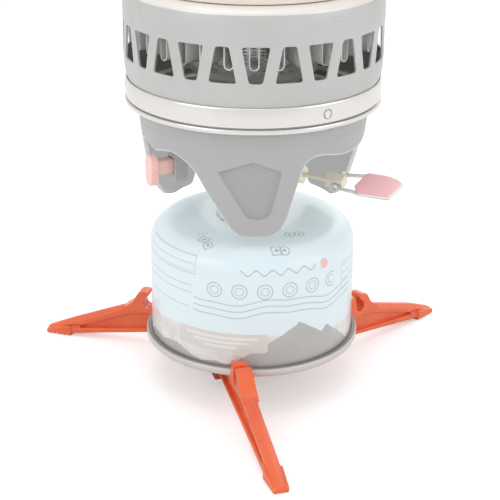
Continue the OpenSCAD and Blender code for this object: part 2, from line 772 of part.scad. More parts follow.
// Frame of the valve's handle: X outwards, Y across the handle, Z up from it
module handle_frame() aim(valve_az) translate([0, 0, valve_z]) rotate([handle_roll, 0, 0])
    children();

// Frame of the wire handle, sloped about its hinge
module fold_frame() handle_frame() translate([hinge_at, 0, 0]) rotate([0, -handle_lift, 0])
    translate([-hinge_at, 0, 0]) children();

module valve_spindle() color(brass) handle_frame()
    translate([10, 0, 0]) rotate([0, 90, 0]) cylinder(r = spindle_r, h = block_in + 2 - 10);

module handle_block() color(brass) handle_frame() difference() {
    intersection() {
        translate([block_in, -block_w / 2, -2.3]) cube([block_len, block_w, 4.6]);
        translate([block_in - 1, 0, 0]) rotate([0, 90, 0]) cylinder(r = 3.3, h = block_len + 2);
    }
    translate([block_in - 1, 0, 0]) rotate([0, 90, 0]) cylinder(r = spindle_r, h = 3);
    translate([hinge_at, 0, 0]) rotate([90, 0, 0])
        cylinder(r = wire_r + run_gap, h = 20, center = true);
}

// Cross pin on which the wire handle folds
module handle_pins() color(steel) handle_frame() translate([hinge_at, 0, 0]) rotate([90, 0, 0])
    cylinder(r = wire_r - 0.1, h = 2 * hinge_half + 2.6, center = true);

wire_y = hinge_half + wire_r + 0.2;
tab_y = tab_w / 2 - 2.2;

// One straight piece of wire with a rounded end that overlaps the next piece
module wire(a, b, r) {
    d = b - a;
    translate(a) rotate([0, acos(d[2] / norm(d)), atan2(d[1], d[0])]) cylinder(r = r, h = norm(d));
    translate(b) sphere(r = r + 0.03);
}

wire_bend = tab_at - 0.8;
wire_in = tab_at + 9;

module handle_wire() color(steel) fold_frame() difference() {
    for (s = [-1, 1]) union() {
        wire([hinge_at, s * wire_y, 0], [wire_bend, s * tab_y, 0], wire_r);
        translate([wire_bend, s * tab_y, 0]) rotate([0, 90, 0]) cylinder(r = wire_r, h = wire_in - wire_bend);
        translate([hinge_at, s * wire_y, 0]) rotate([90, 0, 0])
            cylinder(r = wire_r + 0.9, h = 2 * wire_r - 0.1, center = true);
    }
    translate([hinge_at, 0, 0]) rotate([90, 0, 0])
        cylinder(r = wire_r - 0.1 + run_gap, h = 30, center = true);
}

// Flat finger tab moulded round the ends of the wire
module handle_tab() color([0.93, 0.70, 0.72]) fold_frame() difference() {
    translate([0, 0, -tab_t / 2]) linear_extrude(height = tab_t) polygon([
        [tab_at, -tab_w * 0.24], [tab_at + 2.4, -tab_w / 2], [tab_at + tab_len - 3.4, -tab_w / 2],
        [tab_at + tab_len - 0.6, -tab_w * 0.36], [tab_at + tab_len, -tab_w * 0.26],
        [tab_at + tab_len, tab_w * 0.26], [tab_at + tab_len - 0.6, tab_w * 0.36],
        [tab_at + tab_len - 3.4, tab_w / 2], [tab_at + 2.4, tab_w / 2], [tab_at, tab_w * 0.24]
    ]);
    for (s = [-1, 1]) translate([tab_at - 1, s * tab_y, 0]) rotate([0, 90, 0])
        cylinder(r = wire_r + run_gap, h = wire_in + 0.2 - tab_at + 1);
}

// ---- Igniter ----

insulator_at = 36.2;
insulator_r = 2.2;
stub_h = 6.2;
stub_w = 5;
stub_up = 1.2;
housing_in = 33.4;
housing_out = 39.2;
housing_half = 4;
housing_up = 6;
housing_low = 5.4;
stub_in = housing_out - 1.2;

module igniter_housing() color([0.55, 0.55, 0.56]) aim(igniter_az) difference() {
    union() {
        translate([housing_in, -housing_half, igniter_z - housing_low])
            cube([housing_out - housing_in, 2 * housing_half, housing_low + housing_up]);
        translate([housing_in, -housing_half, igniter_z + housing_up - 1])
            cube([housing_out - housing_in - 0.3, 2 * housing_half, base_floor_z - igniter_z - housing_up + 1]);
    }
    translate([housing_in + 1.2, -stub_w / 2 - slide_gap, igniter_z + stub_up - stub_h / 2 - slide_gap])
        cube([20, stub_w + 2 * slide_gap, stub_h + 2 * slide_gap]);
    translate([insulator_at, 0, igniter_z + 4.7]) cylinder(r = lead_r + run_gap, h = 30);
    translate([insulator_at, 0, base_floor_z - 1.4]) cylinder(r = insulator_r + slide_gap, h = 30);
}

module igniter_button() color([0.98, 0.68, 0.66]) aim(igniter_az) {
    r = button_w / 2;
    x = button_face - button_t;
    difference() {
        union() {
            translate([x, 0, igniter_z - button_h / 2 + r]) rotate([0, 90, 0])
                cylinder(r = r, h = button_t);
            translate([x, 0, igniter_z + button_h / 2 - r]) rotate([0, 90, 0])
                cylinder(r = r, h = button_t);
            translate([x, -r, igniter_z - button_h / 2 + r]) cube([button_t, button_w, button_h - button_w]);
            translate([stub_in, -stub_w / 2, igniter_z + stub_up - stub_h / 2])
                cube([x - stub_in + eps, stub_w, stub_h]);
        }
        translate([stub_in - 1, 0, igniter_z + stub_up]) rotate([0, 90, 0])
            cylinder(r = spring_bore_r, h = spring_bore + 1);
    }
}

spring_bore_r = 2.2;
spring_bore = 4;
spring_at = housing_in + 1.25;

// Return spring between the housing's back wall and the button's stub
module igniter_spring() color(steel) aim(igniter_az)
    translate([0, 0, igniter_z + stub_up]) rotate([0, 90, 0])
        coil(1.7, 0.25, 6, spring_at, stub_in + spring_bore - 0.05 - spring_at);

lead_r = 1.1;
lead_z = igniter_z + 5.2;

module igniter_lead() color([0.9, 0.35, 0.2]) aim(igniter_az)
    translate([insulator_at, 0, lead_z]) cylinder(r = lead_r, h = base_floor_z - 1.1 - lead_z);

module spark_insulator() color([0.95, 0.94, 0.9]) aim(igniter_az)
    translate([insulator_at, 0, base_floor_z - 1]) difference() {
        cylinder(r = insulator_r, h = band_z + 8 - base_floor_z);
        translate([0, 0, -1]) cylinder(r = 0.8 + run_gap, h = 30);
    }

module spark_electrode() color(steel) aim(igniter_az) {
    tip = head_top + 3;
    translate([insulator_at, 0, base_floor_z - 0.9]) cylinder(r = 0.8, h = tip - base_floor_z + 0.9);
    wire([insulator_at, 0, tip], [head_r - 4, 0, tip], 0.8);
}

// ---- Pot ----

module window(wide_top) {
    t = (wide_top ? window_wide : window_narrow) / 2;
    b = (wide_top ? window_narrow : window_wide) / 2;
    c = 0.9;
    z = window_z;
    polygon([
        [-b + c, z], [b - c, z], [b, z + c], [t, z + window_h - c], [t - c, z + window_h],
        [-t + c, z + window_h], [-t, z + window_h - c], [-b, z + c]
    ]);
}

module pot_skirt() color([0.79, 0.79, 0.78]) difference() {
    foot_r = band_r - bowl_t - slide_gap;
    rotate_extrude() polygon([
        [foot_r - skirt_t, skirt_z], [foot_r, skirt_z], [foot_r, band_top], [skirt_r, band_top + 8],
        [skirt_r, skirt_top - 0.5], [skirt_r - 0.5, skirt_top], [skirt_r - skirt_t, skirt_top],
        [skirt_r - skirt_t, band_top + 8], [foot_r - skirt_t, band_top]
    ]);
    for (i = [0:window_count - 1]) aim(window_az + 360 * i / window_count)
        radial_prism(skirt_r - 8, skirt_r + 4) window(i % 2 == 0);
}

module skirt_ledge() color([0.80, 0.80, 0.79]) rotate_extrude() polygon([
    [pot_r + run_gap, skirt_top + ledge_rise], [pot_r + 2, skirt_top + ledge_rise],
    [skirt_r - skirt_t - 0.2, skirt_top], [skirt_r - skirt_t - run_gap, skirt_top - 0.6],
    [skirt_r - skirt_t - run_gap, skirt_top - 3], [skirt_r - skirt_t - 1, skirt_top - 3],
    [skirt_r - skirt_t - 1, skirt_top - 1.2], [pot_r + 1.8, skirt_top + ledge_rise - 1.1],
    [pot_r + run_gap, skirt_top + ledge_rise - 1.1]
]);

fin_out_r = skirt_r - skirt_t - 3.2;

// Hanging loop of one fold, set in by the sheet's thickness
module fin_loop(inset) {
    r = fin_w / 2 - inset;
    translate([0, fin_z + fin_w / 2]) {
        circle(r = r);
        translate([-r, 0]) square([2 * r, fin_h - fin_w / 2 - 0.05 - inset]);
    }
}

// One strip folded into loops that hang from the pot's bottom, all round
module heat_fins() color([0.75, 0.75, 0.74]) union() {
    ring(fin_out_r, fin_in_r, pot_z - 0.05 - fin_t, fin_t);
    for (i = [0:fin_count - 1]) aim(4 + 360 * i / fin_count) radial_prism(fin_in_r, fin_out_r)
        difference() {
            fin_loop(0);
            fin_loop(fin_t);
        }
}

rim_bead = 1.2;

module pot_body() color([0.78, 0.78, 0.77]) rotate_extrude() difference() {
    union() {
        translate([0, pot_z + 4]) square([pot_r, pot_h - 4]);
        square_r = pot_r - 4;
        translate([0, pot_z]) square([square_r, 10]);
        translate([square_r, pot_z + 4]) circle(r = 4);
        translate([pot_r, pot_top - rim_bead]) circle(r = rim_bead);
    }
    translate([-200, 0]) square([200, 1000]);
    union() {
        translate([-1, pot_z + 4]) square([pot_r - pot_wall + 1, pot_h]);
        translate([-1, pot_z + pot_wall]) square([pot_r - 3, 10]);
        translate([pot_r - 4, pot_z + 4]) circle(r = 4 - pot_wall);
    }
}

bracket_w = 20;
bracket_x = pot_r + cosy_t + 1.4;
bracket_top = bracket_z + bracket_h;
hinge_x = bracket_x + 3.4;
hinge_y = 7.5;

module pot_cosy() color([0.91, 0.86, 0.81]) difference() {
    ring(pot_r + cosy_t, pot_r + run_gap, cosy_z, cosy_top - cosy_z);
    translate([20, -bracket_w / 2 - 1, bracket_z - 1]) cube([60, bracket_w + 2, bracket_h + 2]);
}

// Channel spot-welded to the pot through a slot in the sleeve
module handle_bracket() color(steel) difference() {
    union() {
        for (z = [bracket_z, bracket_top - 8]) translate([30, -5, z])
            cube([bracket_x - 30, 10, 8]);
        translate([bracket_x - 1, -bracket_w / 2, bracket_z]) cube([1, bracket_w, bracket_h]);
        for (z = [bracket_z, bracket_top - 1]) translate([bracket_x - 1, -bracket_w / 2, z])
            cube([7.6, bracket_w, 1]);
    }
    cylinder(r = pot_r + run_gap, h = 400);
    for (s = [-1, 1]) translate([hinge_x, s * hinge_y, bracket_z - 1])
        cylinder(r = 0.9 + run_gap, h = bracket_h + 2);
}

module bracket_pins() color(steel) for (s = [-1, 1]) translate([hinge_x, s * hinge_y, 0]) {
    translate([0, 0, bracket_z - 1]) cylinder(r = 0.9, h = bracket_h + 2);
    for (z = [bracket_z - 1, bracket_top + 0.1]) translate([0, 0, z]) cylinder(r = 1.6, h = 0.9);
}

loop_low = bracket_z + 1.4 + handle_r;
loop_high = bracket_top - 1.4 - handle_r;

// Wire loop that folds flat beside the pot: side is -1 in front and 1 behind
module handle_loop(side) translate([0, side * hinge_y, 0]) {
    x1 = hinge_x + handle_reach;
    difference() {
        union() {
            for (z = [loop_low, loop_high]) {
                translate([hinge_x, 0, z - handle_r]) cylinder(r = 2.2, h = 2 * handle_r);
                translate([hinge_x, 0, z]) rotate([0, 90, 0]) cylinder(r = handle_r, h = handle_reach - 4);
            }
            translate([x1, 0, loop_low + 4]) cylinder(r = handle_r, h = loop_high - loop_low - 8);
            translate([x1 - 4, 0, loop_low + 4]) rotate([90, 0, 0]) rotate([0, 0, -90])
                rotate_extrude(angle = 90) translate([4, 0]) circle(r = handle_r);
            translate([x1 - 4, 0, loop_high - 4]) rotate([90, 0, 0])
                rotate_extrude(angle = 90) translate([4, 0]) circle(r = handle_r);
        }
        translate([hinge_x, 0, bracket_z]) cylinder(r = 0.9 + run_gap, h = bracket_h);
    }
}

module handle_grip(side) translate([hinge_x + handle_reach, side * hinge_y, loop_low + 7])
    difference() {
        cylinder(r = grip_r, h = loop_high - loop_low - 14);
        translate([0, 0, -1]) cylinder(r = handle_r + run_gap, h = 100);
    }

module front_handle() color(steel) handle_loop(-1);
module rear_handle() color(steel) handle_loop(1);
module front_grip() color([0.9, 0.4, 0.2]) handle_grip(-1);
module rear_grip() color([0.9, 0.4, 0.2]) handle_grip(1);

// ---- Lid ----

plug_r = pot_r - pot_wall - 0.9;
lid_z = pot_top + rest_gap;
seal_h = 2;

module lid() color([0.62, 0.62, 0.62]) difference() {
    rotate_extrude() difference() {
        union() {
            translate([0, lid_z]) square([pot_r + rim_bead, lid_t]);
            translate([0, lid_z - lid_plug]) square([plug_r, lid_plug + eps]);
        }
        translate([-1, lid_z - lid_plug - 1]) square([plug_r - 1.2, lid_plug + 1]);
        translate([plug_r - 0.6, lid_z - lid_plug + 2]) square([2, seal_h]);
    }
    for (i = [-3:3]) rotate([0, 0, 180 + 9 * i]) translate([plug_r - 6, 0, lid_z - 1])
        cylinder(r = 1.4, h = lid_t + 2);
    translate([plug_r - 9, 0, lid_z - 1]) cylinder(r = 4, h = lid_t + 2);
    translate([0, 0, lid_z - 1]) cylinder(r = screw_r + run_gap, h = lid_t + 2);
}

module lid_seal() color([0.2, 0.2, 0.2])
    ring(pot_r - pot_wall - 0.15, plug_r - 0.55, lid_z - lid_plug + 2.1, seal_h - 0.2);

module lid_knob() color([0.2, 0.2, 0.2]) translate([0, 0, lid_z + lid_t + 0.05]) difference() {
    union() {
        cylinder(r = knob_r * 0.5, h = knob_h - 2);
        translate([0, 0, knob_h - 3]) cylinder(r = knob_r, h = 3);
    }
    translate([0, 0, -1]) cylinder(r = screw_r + run_gap, h = knob_h - 1.5);
    for (i = [0:11]) rotate([0, 0, 30 * i]) translate([knob_r + 0.8, 0, knob_h - 4])
        cylinder(r = 1.3, h = 6);
}

module lid_screw() color(steel) {
    translate([0, 0, lid_z - 1.6]) cylinder(r = screw_r + 1.5, h = 1.5);
    translate([0, 0, lid_z - 1.6]) cylinder(r = screw_r, h = lid_t + knob_h - 1.6);
}

stand_front_leg();
stand_left_leg();
stand_right_leg();
stand_rivets();
canister_shell();
canister_base();
canister_valve_cup();
canister_valve_seal();
canister_valve_pin();
canister_valve_spring();
base_shell();
base_screws();
burner_bowl();
mixing_tube();
gas_jet();
burner_head();
burner_grid();
valve_body();
connector_collar();
connector_seal();
packing_nut();
valve_spindle();
handle_block();
handle_pins();
handle_wire();
handle_tab();
igniter_housing();
igniter_button();
igniter_spring();
igniter_lead();
spark_insulator();
spark_electrode();
pot_body();
pot_skirt();
skirt_ledge();
heat_fins();
pot_cosy();
handle_bracket();
bracket_pins();
front_handle();
front_grip();
rear_handle();
rear_grip();
lid();
lid_seal();
lid_knob();
lid_screw();
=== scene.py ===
import bmesh
import bpy
import json
import math
from mathutils import Matrix, Vector, noise


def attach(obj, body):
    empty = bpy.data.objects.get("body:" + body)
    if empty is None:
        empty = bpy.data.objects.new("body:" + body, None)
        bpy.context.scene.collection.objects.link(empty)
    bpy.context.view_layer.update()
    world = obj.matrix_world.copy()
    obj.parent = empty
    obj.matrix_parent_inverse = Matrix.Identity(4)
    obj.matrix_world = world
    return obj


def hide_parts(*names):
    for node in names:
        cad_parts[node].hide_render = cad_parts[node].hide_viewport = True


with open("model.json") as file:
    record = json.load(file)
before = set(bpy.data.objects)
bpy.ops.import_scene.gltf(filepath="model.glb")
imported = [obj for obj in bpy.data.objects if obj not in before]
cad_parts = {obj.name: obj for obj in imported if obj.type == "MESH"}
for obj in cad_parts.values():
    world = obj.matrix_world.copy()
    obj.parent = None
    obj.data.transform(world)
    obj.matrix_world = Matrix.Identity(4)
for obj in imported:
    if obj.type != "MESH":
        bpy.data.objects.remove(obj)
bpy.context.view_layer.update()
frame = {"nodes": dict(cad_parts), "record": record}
mm = 0.001
record = frame["record"]
print("frame loaded")


# small helpers

def polar(radius, azimuth, height):  # azimuth in degrees from -Y towards +X, sizes in mm
    a = math.radians(azimuth)
    return Vector((radius * math.sin(a), -radius * math.cos(a), height)) * mm


def onWall(radius, azimuth, height):  # frame at a spot on the wall, with Z pointing outwards
    return Matrix.Translation(polar(radius, azimuth, height)) \
        @ Matrix.Rotation(math.radians(azimuth), 4, "Z") @ Matrix.Rotation(math.radians(90), 4, "X")


def circlePoint(x, y, radius, degrees):
    a = math.radians(degrees)
    return (x + radius * math.cos(a), y + radius * math.sin(a))


def smooth(x, low, high):  # 0 below low, 1 above high, soft between
    t = min(1.0, max(0.0, (x - low) / (high - low)))
    return t * t * (3 - 2 * t)


def along(x, points):  # straight lines through points given as (x, value)
    if x <= points[0][0]:
        return points[0][1]
    for (xa, ya), (xb, yb) in zip(points, points[1:]):
        if x <= xb:
            return ya + (yb - ya) * (x - xa) / (xb - xa)
    return points[-1][1]


def rounded(points, steps):  # Catmull-Rom curve through open points
    curve = []
    for i in range(len(points) - 1):
        a = Vector(points[max(i - 1, 0)])
        b, c = Vector(points[i]), Vector(points[i + 1])
        d = Vector(points[min(i + 2, len(points) - 1)])
        for k in range(steps):
            t = k / steps
            curve.append(0.5 * ((2 * b) + (c - a) * t + (2 * a - 5 * b + 4 * c - d) * t ** 2
                                + (3 * b - a - 3 * c + d) * t ** 3))
    curve.append(Vector(points[-1]))
    return curve


def softened(points, radius, steps):  # rounds every corner of a flat outline
    out = []
    for i, p in enumerate(points):
        p, a, b = Vector(p), Vector(points[i - 1]), Vector(points[(i + 1) % len(points)])
        reach = min(radius, (a - p).length * 0.45, (b - p).length * 0.45)
        start, end = p + (a - p).normalized() * reach, p + (b - p).normalized() * reach
        for k in range(steps + 1):
            t = k / steps
            out.append(start * (1 - t) ** 2 + p * 2 * t * (1 - t) + end * t ** 2)
    return out


def toObject(name, bm, material, angle):
    bmesh.ops.remove_doubles(bm, verts=bm.verts, dist=2e-6)
    bmesh.ops.recalc_face_normals(bm, faces=bm.faces)
    mesh = bpy.data.meshes.new(name)
    bm.to_mesh(mesh)
    bm.free()
    mesh.shade_smooth()
    mesh.set_sharp_from_angle(angle=math.radians(angle))
    obj = bpy.data.objects.new(name, mesh)
    bpy.context.collection.objects.link(obj)
    mesh.materials.append(material)
    return obj


def fromFaces(name, points, faces, material, angle=35):  # points in metres; those in no face are dropped
    bm = bmesh.new()
    verts = [bm.verts.new(p) for p in points]
    for face in faces:
        bm.faces.new([verts[i] for i in face])
    bmesh.ops.delete(bm, geom=[v for v in verts if not v.link_faces], context="VERTS")
    return toObject(name, bm, material, angle)


def lathe(name, profile, material, segments, angle, closed=True, move=None):
    # profile: (radius, height) in mm, going round the section; a radius of 0 closes at the axis
    points, faces, rows = [], [], []
    for radius, height in profile:
        if radius < 1e-6:
            rows.append([len(points)] * segments)
            points.append(Vector((0, 0, height)) * mm)
        else:
            rows.append(list(range(len(points), len(points) + segments)))
            points += [polar(radius, 360 * i / segments, height) for i in range(segments)]
    count = len(rows)
    for j in range(count if closed else count - 1):
        low, high = rows[j], rows[(j + 1) % count]
        for i in range(segments):
            k = (i + 1) % segments
            corners = [low[i], low[k], high[k], high[i]]
            corners = [c for n, c in enumerate(corners) if c not in corners[:n]]
            if len(corners) > 2:
                faces.append(corners)
    if move:
        points = [move @ p for p in points]
    return fromFaces(name, points, faces, material, angle)


def loft(name, sections, material, angle):  # closed sections of the same number of points
    size = len(sections[0])
    points = [p for section in sections for p in section]
    faces = []
    for j in range(len(sections) - 1):
        for i in range(size):
            k = (i + 1) % size
            faces.append([j * size + i, j * size + k, (j + 1) * size + k, (j + 1) * size + i])
    faces.append(list(range(size)))
    last = (len(sections) - 1) * size
    faces.append([last + i for i in range(size)])
    return fromFaces(name, points, faces, material, angle)


def tube(name, path, radius, material, sides):  # path in metres, round section, domed ends
    path = [Vector(p) for p in path]
    ways = [(path[min(i + 1, len(path) - 1)] - path[max(i - 1, 0)]).normalized() for i in range(len(path))]
    side = ways[0].orthogonal().normalized()
    sections = []

    def section(centre, way, size):
        nonlocal side
        side = (side - way * side.dot(way)).normalized()
        other = way.cross(side)
        return [centre + (side * math.cos(2 * math.pi * k / sides)
                          + other * math.sin(2 * math.pi * k / sides)) * size for k in range(sides)]

    r = radius * mm
    for bulge, size in ((0.92, 0.35), (0.7, 0.72), (0.3, 0.95)):
        sections.append(section(path[0] - ways[0] * r * (bulge - 0.3), ways[0], r * size))
    for centre, way in zip(path[1:-1] if len(path) > 2 else path, ways[1:-1] if len(path) > 2 else ways):
        sections.append(section(centre, way, r))
    for bulge, size in ((0.3, 0.95), (0.7, 0.72), (0.92, 0.35)):
        sections.append(section(path[-1] + ways[-1] * r * (bulge - 0.3), ways[-1], r * size))
    return loft(name, sections, material, 50)


def joined(name, objects):  # several meshes become one piece
    bm = bmesh.new()
    material = objects[0].data.materials[0]
    for o in objects:
        bm.from_mesh(o.data)
        mesh = o.data
        bpy.data.objects.remove(o)
        bpy.data.meshes.remove(mesh)
    mesh = bpy.data.meshes.new(name)
    bm.to_mesh(mesh)
    bm.free()
    obj = bpy.data.objects.new(name, mesh)
    bpy.context.collection.objects.link(obj)
    mesh.materials.append(material)
    return obj


def bevelled(obj, width, segments, angle):
    edge = obj.modifiers.new("softEdges", "BEVEL")
    edge.width = width * mm
    edge.segments = segments
    edge.limit_method = "ANGLE"
    edge.angle_limit = math.radians(angle)
    edge.harden_normals = True
    return obj


# copies of one shape round the main axis, by geometry nodes

def buildRingTree():
    tree = bpy.data.node_groups.new("copiesRoundAxis", "GeometryNodeTree")
    face = tree.interface
    face.new_socket("Shape", in_out="INPUT", socket_type="NodeSocketGeometry")
    for title, kind in (("Count", "NodeSocketInt"), ("First angle", "NodeSocketFloat"),
                        ("Whole turn", "NodeSocketFloat"), ("Weld", "NodeSocketFloat"),
                        ("Finish", "NodeSocketMaterial")):
        face.new_socket(title, in_out="INPUT", socket_type=kind)
    face.new_socket("Ring", in_out="OUTPUT", socket_type="NodeSocketGeometry")
    add, link = tree.nodes.new, tree.links.new
    start, end = add("NodeGroupInput"), add("NodeGroupOutput")
    row, index = add("GeometryNodeMeshLine"), add("GeometryNodeInputIndex")
    row.inputs["Offset"].default_value = (0, 0, 0)
    share, turn, shifted = (add("ShaderNodeMath") for _ in range(3))
    share.operation, turn.operation, shifted.operation = "DIVIDE", "MULTIPLY", "ADD"
    spin, copy = add("ShaderNodeCombineXYZ"), add("GeometryNodeInstanceOnPoints")
    solid, weld = add("GeometryNodeRealizeInstances"), add("GeometryNodeMergeByDistance")
    paint = add("GeometryNodeSetMaterial")
    link(start.outputs["Count"], row.inputs["Count"])
    link(index.outputs[0], share.inputs[0])
    link(start.outputs["Count"], share.inputs[1])
    link(share.outputs[0], turn.inputs[0])
    link(start.outputs["Whole turn"], turn.inputs[1])
    link(turn.outputs[0], shifted.inputs[0])
    link(start.outputs["First angle"], shifted.inputs[1])
    link(shifted.outputs[0], spin.inputs["Z"])
    link(row.outputs[0], copy.inputs["Points"])
    link(start.outputs["Shape"], copy.inputs["Instance"])
    link(spin.outputs[0], copy.inputs["Rotation"])
    link(copy.outputs[0], solid.inputs[0])
    link(solid.outputs[0], weld.inputs["Geometry"])
    link(start.outputs["Weld"], weld.inputs["Distance"])
    link(weld.outputs[0], paint.inputs["Geometry"])
    link(start.outputs["Finish"], paint.inputs["Material"])
    link(paint.outputs[0], end.inputs[0])
    return tree


ringTree = buildRingTree()


def roundAxis(obj, count, material, first=0.0, weld=1e-7):  # first in degrees
    ring = obj.modifiers.new("ring", "NODES")
    ring.node_group = ringTree
    values = {"Count": count, "First angle": math.radians(first), "Whole turn": math.radians(360),
              "Weld": weld, "Finish": material}
    for socket in ringTree.interface.items_tree:
        if socket.in_out == "INPUT" and socket.name in values:
            ring[socket.identifier] = values[socket.name]
    whole = bpy.data.meshes.new_from_object(obj.evaluated_get(bpy.context.evaluated_depsgraph_get()))
    old = obj.data
    obj.modifiers.remove(ring)
    obj.data = whole
    whole.name = obj.name
    bpy.data.meshes.remove(old)
    return obj


# shader helpers

def srgb(red, green, blue):  # 0 to 255, as a colour picker shows them
    def linear(c):
        c /= 255
        return c / 12.92 if c <= 0.04045 else ((c + 0.055) / 1.055) ** 2.4
    return (linear(red), linear(green), linear(blue), 1)


def plug(tree, socket, value):
    if isinstance(value, Signal):
        tree.links.new(value.socket, socket)
    elif isinstance(value, bpy.types.NodeSocket):
        tree.links.new(value, socket)
    else:
        socket.default_value = value


def operation(kind):  # one of the Math node's operations, as a method
    return lambda self, other: self.math(kind, self, other)


class Signal:  # a socket that takes Python's operators
    def __init__(self, tree, socket):
        self.tree, self.socket = tree, socket

    def math(self, kind, first, second=None, clamp=False):
        node = self.tree.nodes.new("ShaderNodeMath")
        node.operation, node.use_clamp = kind, clamp
        plug(self.tree, node.inputs[0], first)
        if second is not None:
            plug(self.tree, node.inputs[1], second)
        return Signal(self.tree, node.outputs[0])

    __add__, __sub__, __mul__ = operation("ADD"), operation("SUBTRACT"), operation("MULTIPLY")
    __truediv__, __pow__, either = operation("DIVIDE"), operation("POWER"), operation("MAXIMUM")
    __lt__, __gt__ = operation("LESS_THAN"), operation("GREATER_THAN")

    def clamped(self):
        return self.math("ADD", self, 0.0, clamp=True)

    def size(self):
        return self.math("ABSOLUTE", self)

    def sine(self):
        return self.math("SINE", self)

    def ramp(self, low, high):  # 0 at low, 1 at high
        return self.math("MULTIPLY", self - low, 1 / (high - low), clamp=True)


class Finish:  # one material, built from a Principled shader
    def __init__(self, name, colour, roughness, metallic=0.0, **constants):
        self.material = bpy.data.materials.new(name)
        self.material.use_nodes = True
        self.tree = self.material.node_tree
        self.shader = self.tree.nodes["Principled BSDF"]
        self.place = self.add("ShaderNodeTexCoord").outputs["Object"]
        self.set("Base Color", colour)
        self.set("Roughness", roughness)
        self.set("Metallic", metallic)
        for socket, value in constants.items():
            self.set(socket.replace("_", " "), value)

    def add(self, kind, inputs=None, settings=None):
        node = self.tree.nodes.new(kind)
        for key, value in (settings or {}).items():
            setattr(node, key, value)
        for key, value in (inputs or {}).items():
            plug(self.tree, node.inputs[key], value)
        return node

    def signal(self, kind, output, inputs, settings=None):
        return Signal(self.tree, self.add(kind, inputs, settings).outputs[output])

    def set(self, socket, value):
        plug(self.tree, self.shader.inputs[socket], value)

    def axes(self, stretch=(1, 1, 1)):  # X, Y and Z of the object, in metres times the stretch
        moved = self.add("ShaderNodeMapping", {"Vector": self.place, "Scale": stretch})
        split = self.add("ShaderNodeSeparateXYZ", {"Vector": moved.outputs[0]})
        return [Signal(self.tree, split.outputs[i]) for i in range(3)]

    def cloud(self, scale, detail, stretch=(1, 1, 1)):
        moved = self.add("ShaderNodeMapping", {"Vector": self.place, "Scale": stretch})
        return self.signal("ShaderNodeTexNoise", "Fac", {
            "Vector": moved.outputs[0], "Scale": scale, "Detail": detail, "Roughness": 0.55})

    def turn(self, x, y):  # angle from the front, in radians
        return self.signal("ShaderNodeMath", 0, {0: x, 1: y * -1.0}, {"operation": "ARCTAN2"})

    def mix(self, factor, first, second):
        node = self.add("ShaderNodeMix", None, {"data_type": "RGBA"})
        plug(self.tree, node.inputs[0], factor)
        plug(self.tree, node.inputs[6], first)
        plug(self.tree, node.inputs[7], second)
        return Signal(self.tree, node.outputs[2])

    def bump(self, height, distance, strength, under=None):
        inputs = {"Height": height, "Distance": distance, "Strength": strength}
        if under is not None:
            inputs["Normal"] = under
        return self.add("ShaderNodeBump", inputs).outputs[0]

    def wear(self, colour, darker, scale, roughness):  # soft handling marks
        amount = 0.6
        mark = self.cloud(scale, 4).ramp(0.35, 0.75) * amount
        self.set("Base Color", self.mix(mark, colour, darker))
        self.set("Roughness", mark * (roughness[1] - roughness[0]) / amount + roughness[0])


# finishes

def legPlasticFinish():
    colour = srgb(234, 102, 54)
    f = Finish("legPlastic", colour, 0.34, Specular_IOR_Level=0.5, Coat_Weight=0.3, Coat_Roughness=0.16)
    f.wear(colour, srgb(208, 80, 38), 90, (0.28, 0.42))
    grain = f.cloud(2600, 2)
    flow = f.cloud(70, 2, (1, 1, 3))
    f.set("Normal", f.bump(grain, 0.00004, 0.35, f.bump(flow, 0.0006, 0.25)))
    return f.material


def satinSteelFinish(name, colour, roughness, strength, metallic):
    f = Finish(name, colour, roughness, metallic)
    lines = f.cloud(60, 3, (1, 1, 60))
    smudge = f.cloud(40, 3).ramp(0.3, 0.8)
    f.set("Base Color", f.mix(smudge * 0.4, colour, tuple(c * 0.86 for c in colour[:3]) + (1,)))
    f.set("Roughness", lines * 0.14 + (roughness - 0.05))
    f.set("Normal", f.bump(lines, 0.00002, strength))
    return f.material


def rimFinish():
    colour = srgb(206, 202, 199)
    f = Finish("rimSteel", colour, 0.4, 0.25)
    x, y, z = f.axes((1000, 1000, 1000))
    lines = f.cloud(60, 3, (1, 1, 60))
    plain = f.mix(f.cloud(45, 3).ramp(0.3, 0.8) * 0.4, colour, srgb(198, 194, 190))
    outside = (x * x + y * y) ** 0.5 > 44.9
    seam = z.ramp(22.2, 22.7) * outside  # the dark line where the wall enters the rim
    f.set("Base Color", f.mix(seam * 0.8, plain, srgb(104, 100, 97)))
    f.set("Roughness", lines * 0.12 + 0.36)
    f.set("Normal", f.bump(lines, 0.00002, 0.25))
    return f.material


def brassFinish():
    colour = srgb(242, 234, 216)
    f = Finish("brass", colour, 0.3, 0.25)
    f.wear(colour, srgb(228, 216, 190), 160, (0.25, 0.45))
    f.set("Normal", f.bump(f.cloud(900, 2, (1, 1, 6)), 0.00002, 0.3))
    return f.material


def basePlasticFinish():
    colour = srgb(180, 180, 180)
    f = Finish("basePlastic", colour, 0.5, Specular_IOR_Level=0.4)
    mark = f.cloud(60, 4).ramp(0.35, 0.75)
    plain = f.mix(mark * 0.6, colour, srgb(173, 174, 175))
    panelAndPaintedLight = f.signal("ShaderNodeAttribute", "Fac", None, {"attribute_name": "panelAndPaintedLight"})
    panel = f.mix(panelAndPaintedLight.clamped(), plain, srgb(168, 168, 169))
    # the negative values paint a highlight on the openings' edges and light on the inside faces
    f.set("Base Color", f.mix((panelAndPaintedLight * -0.75).clamped(), panel, srgb(232, 232, 232)))
    f.set("Roughness", mark * 0.12 + 0.42)
    spark = f.signal("ShaderNodeTexVoronoi", "Distance", {"Vector": f.place, "Scale": 1500.0})
    f.set("Normal", f.bump(spark, 0.00005, 0.3))
    return f.material


bandSizes = {  # for this finish and for the burner bowl
    "foot": 121.8, "crease": 131.0, "top": 139.4, "radius": 54.0, "bead": 0.28, "sheet": 0.8, "pan": 45.95,
    "flange": 127.86, "dimpleTurns": (32.9, 152.9, 272.9), "dimpleHeight": 135.1, "beadShadowLine": 128.1,
    "lineRadius": 51.5}


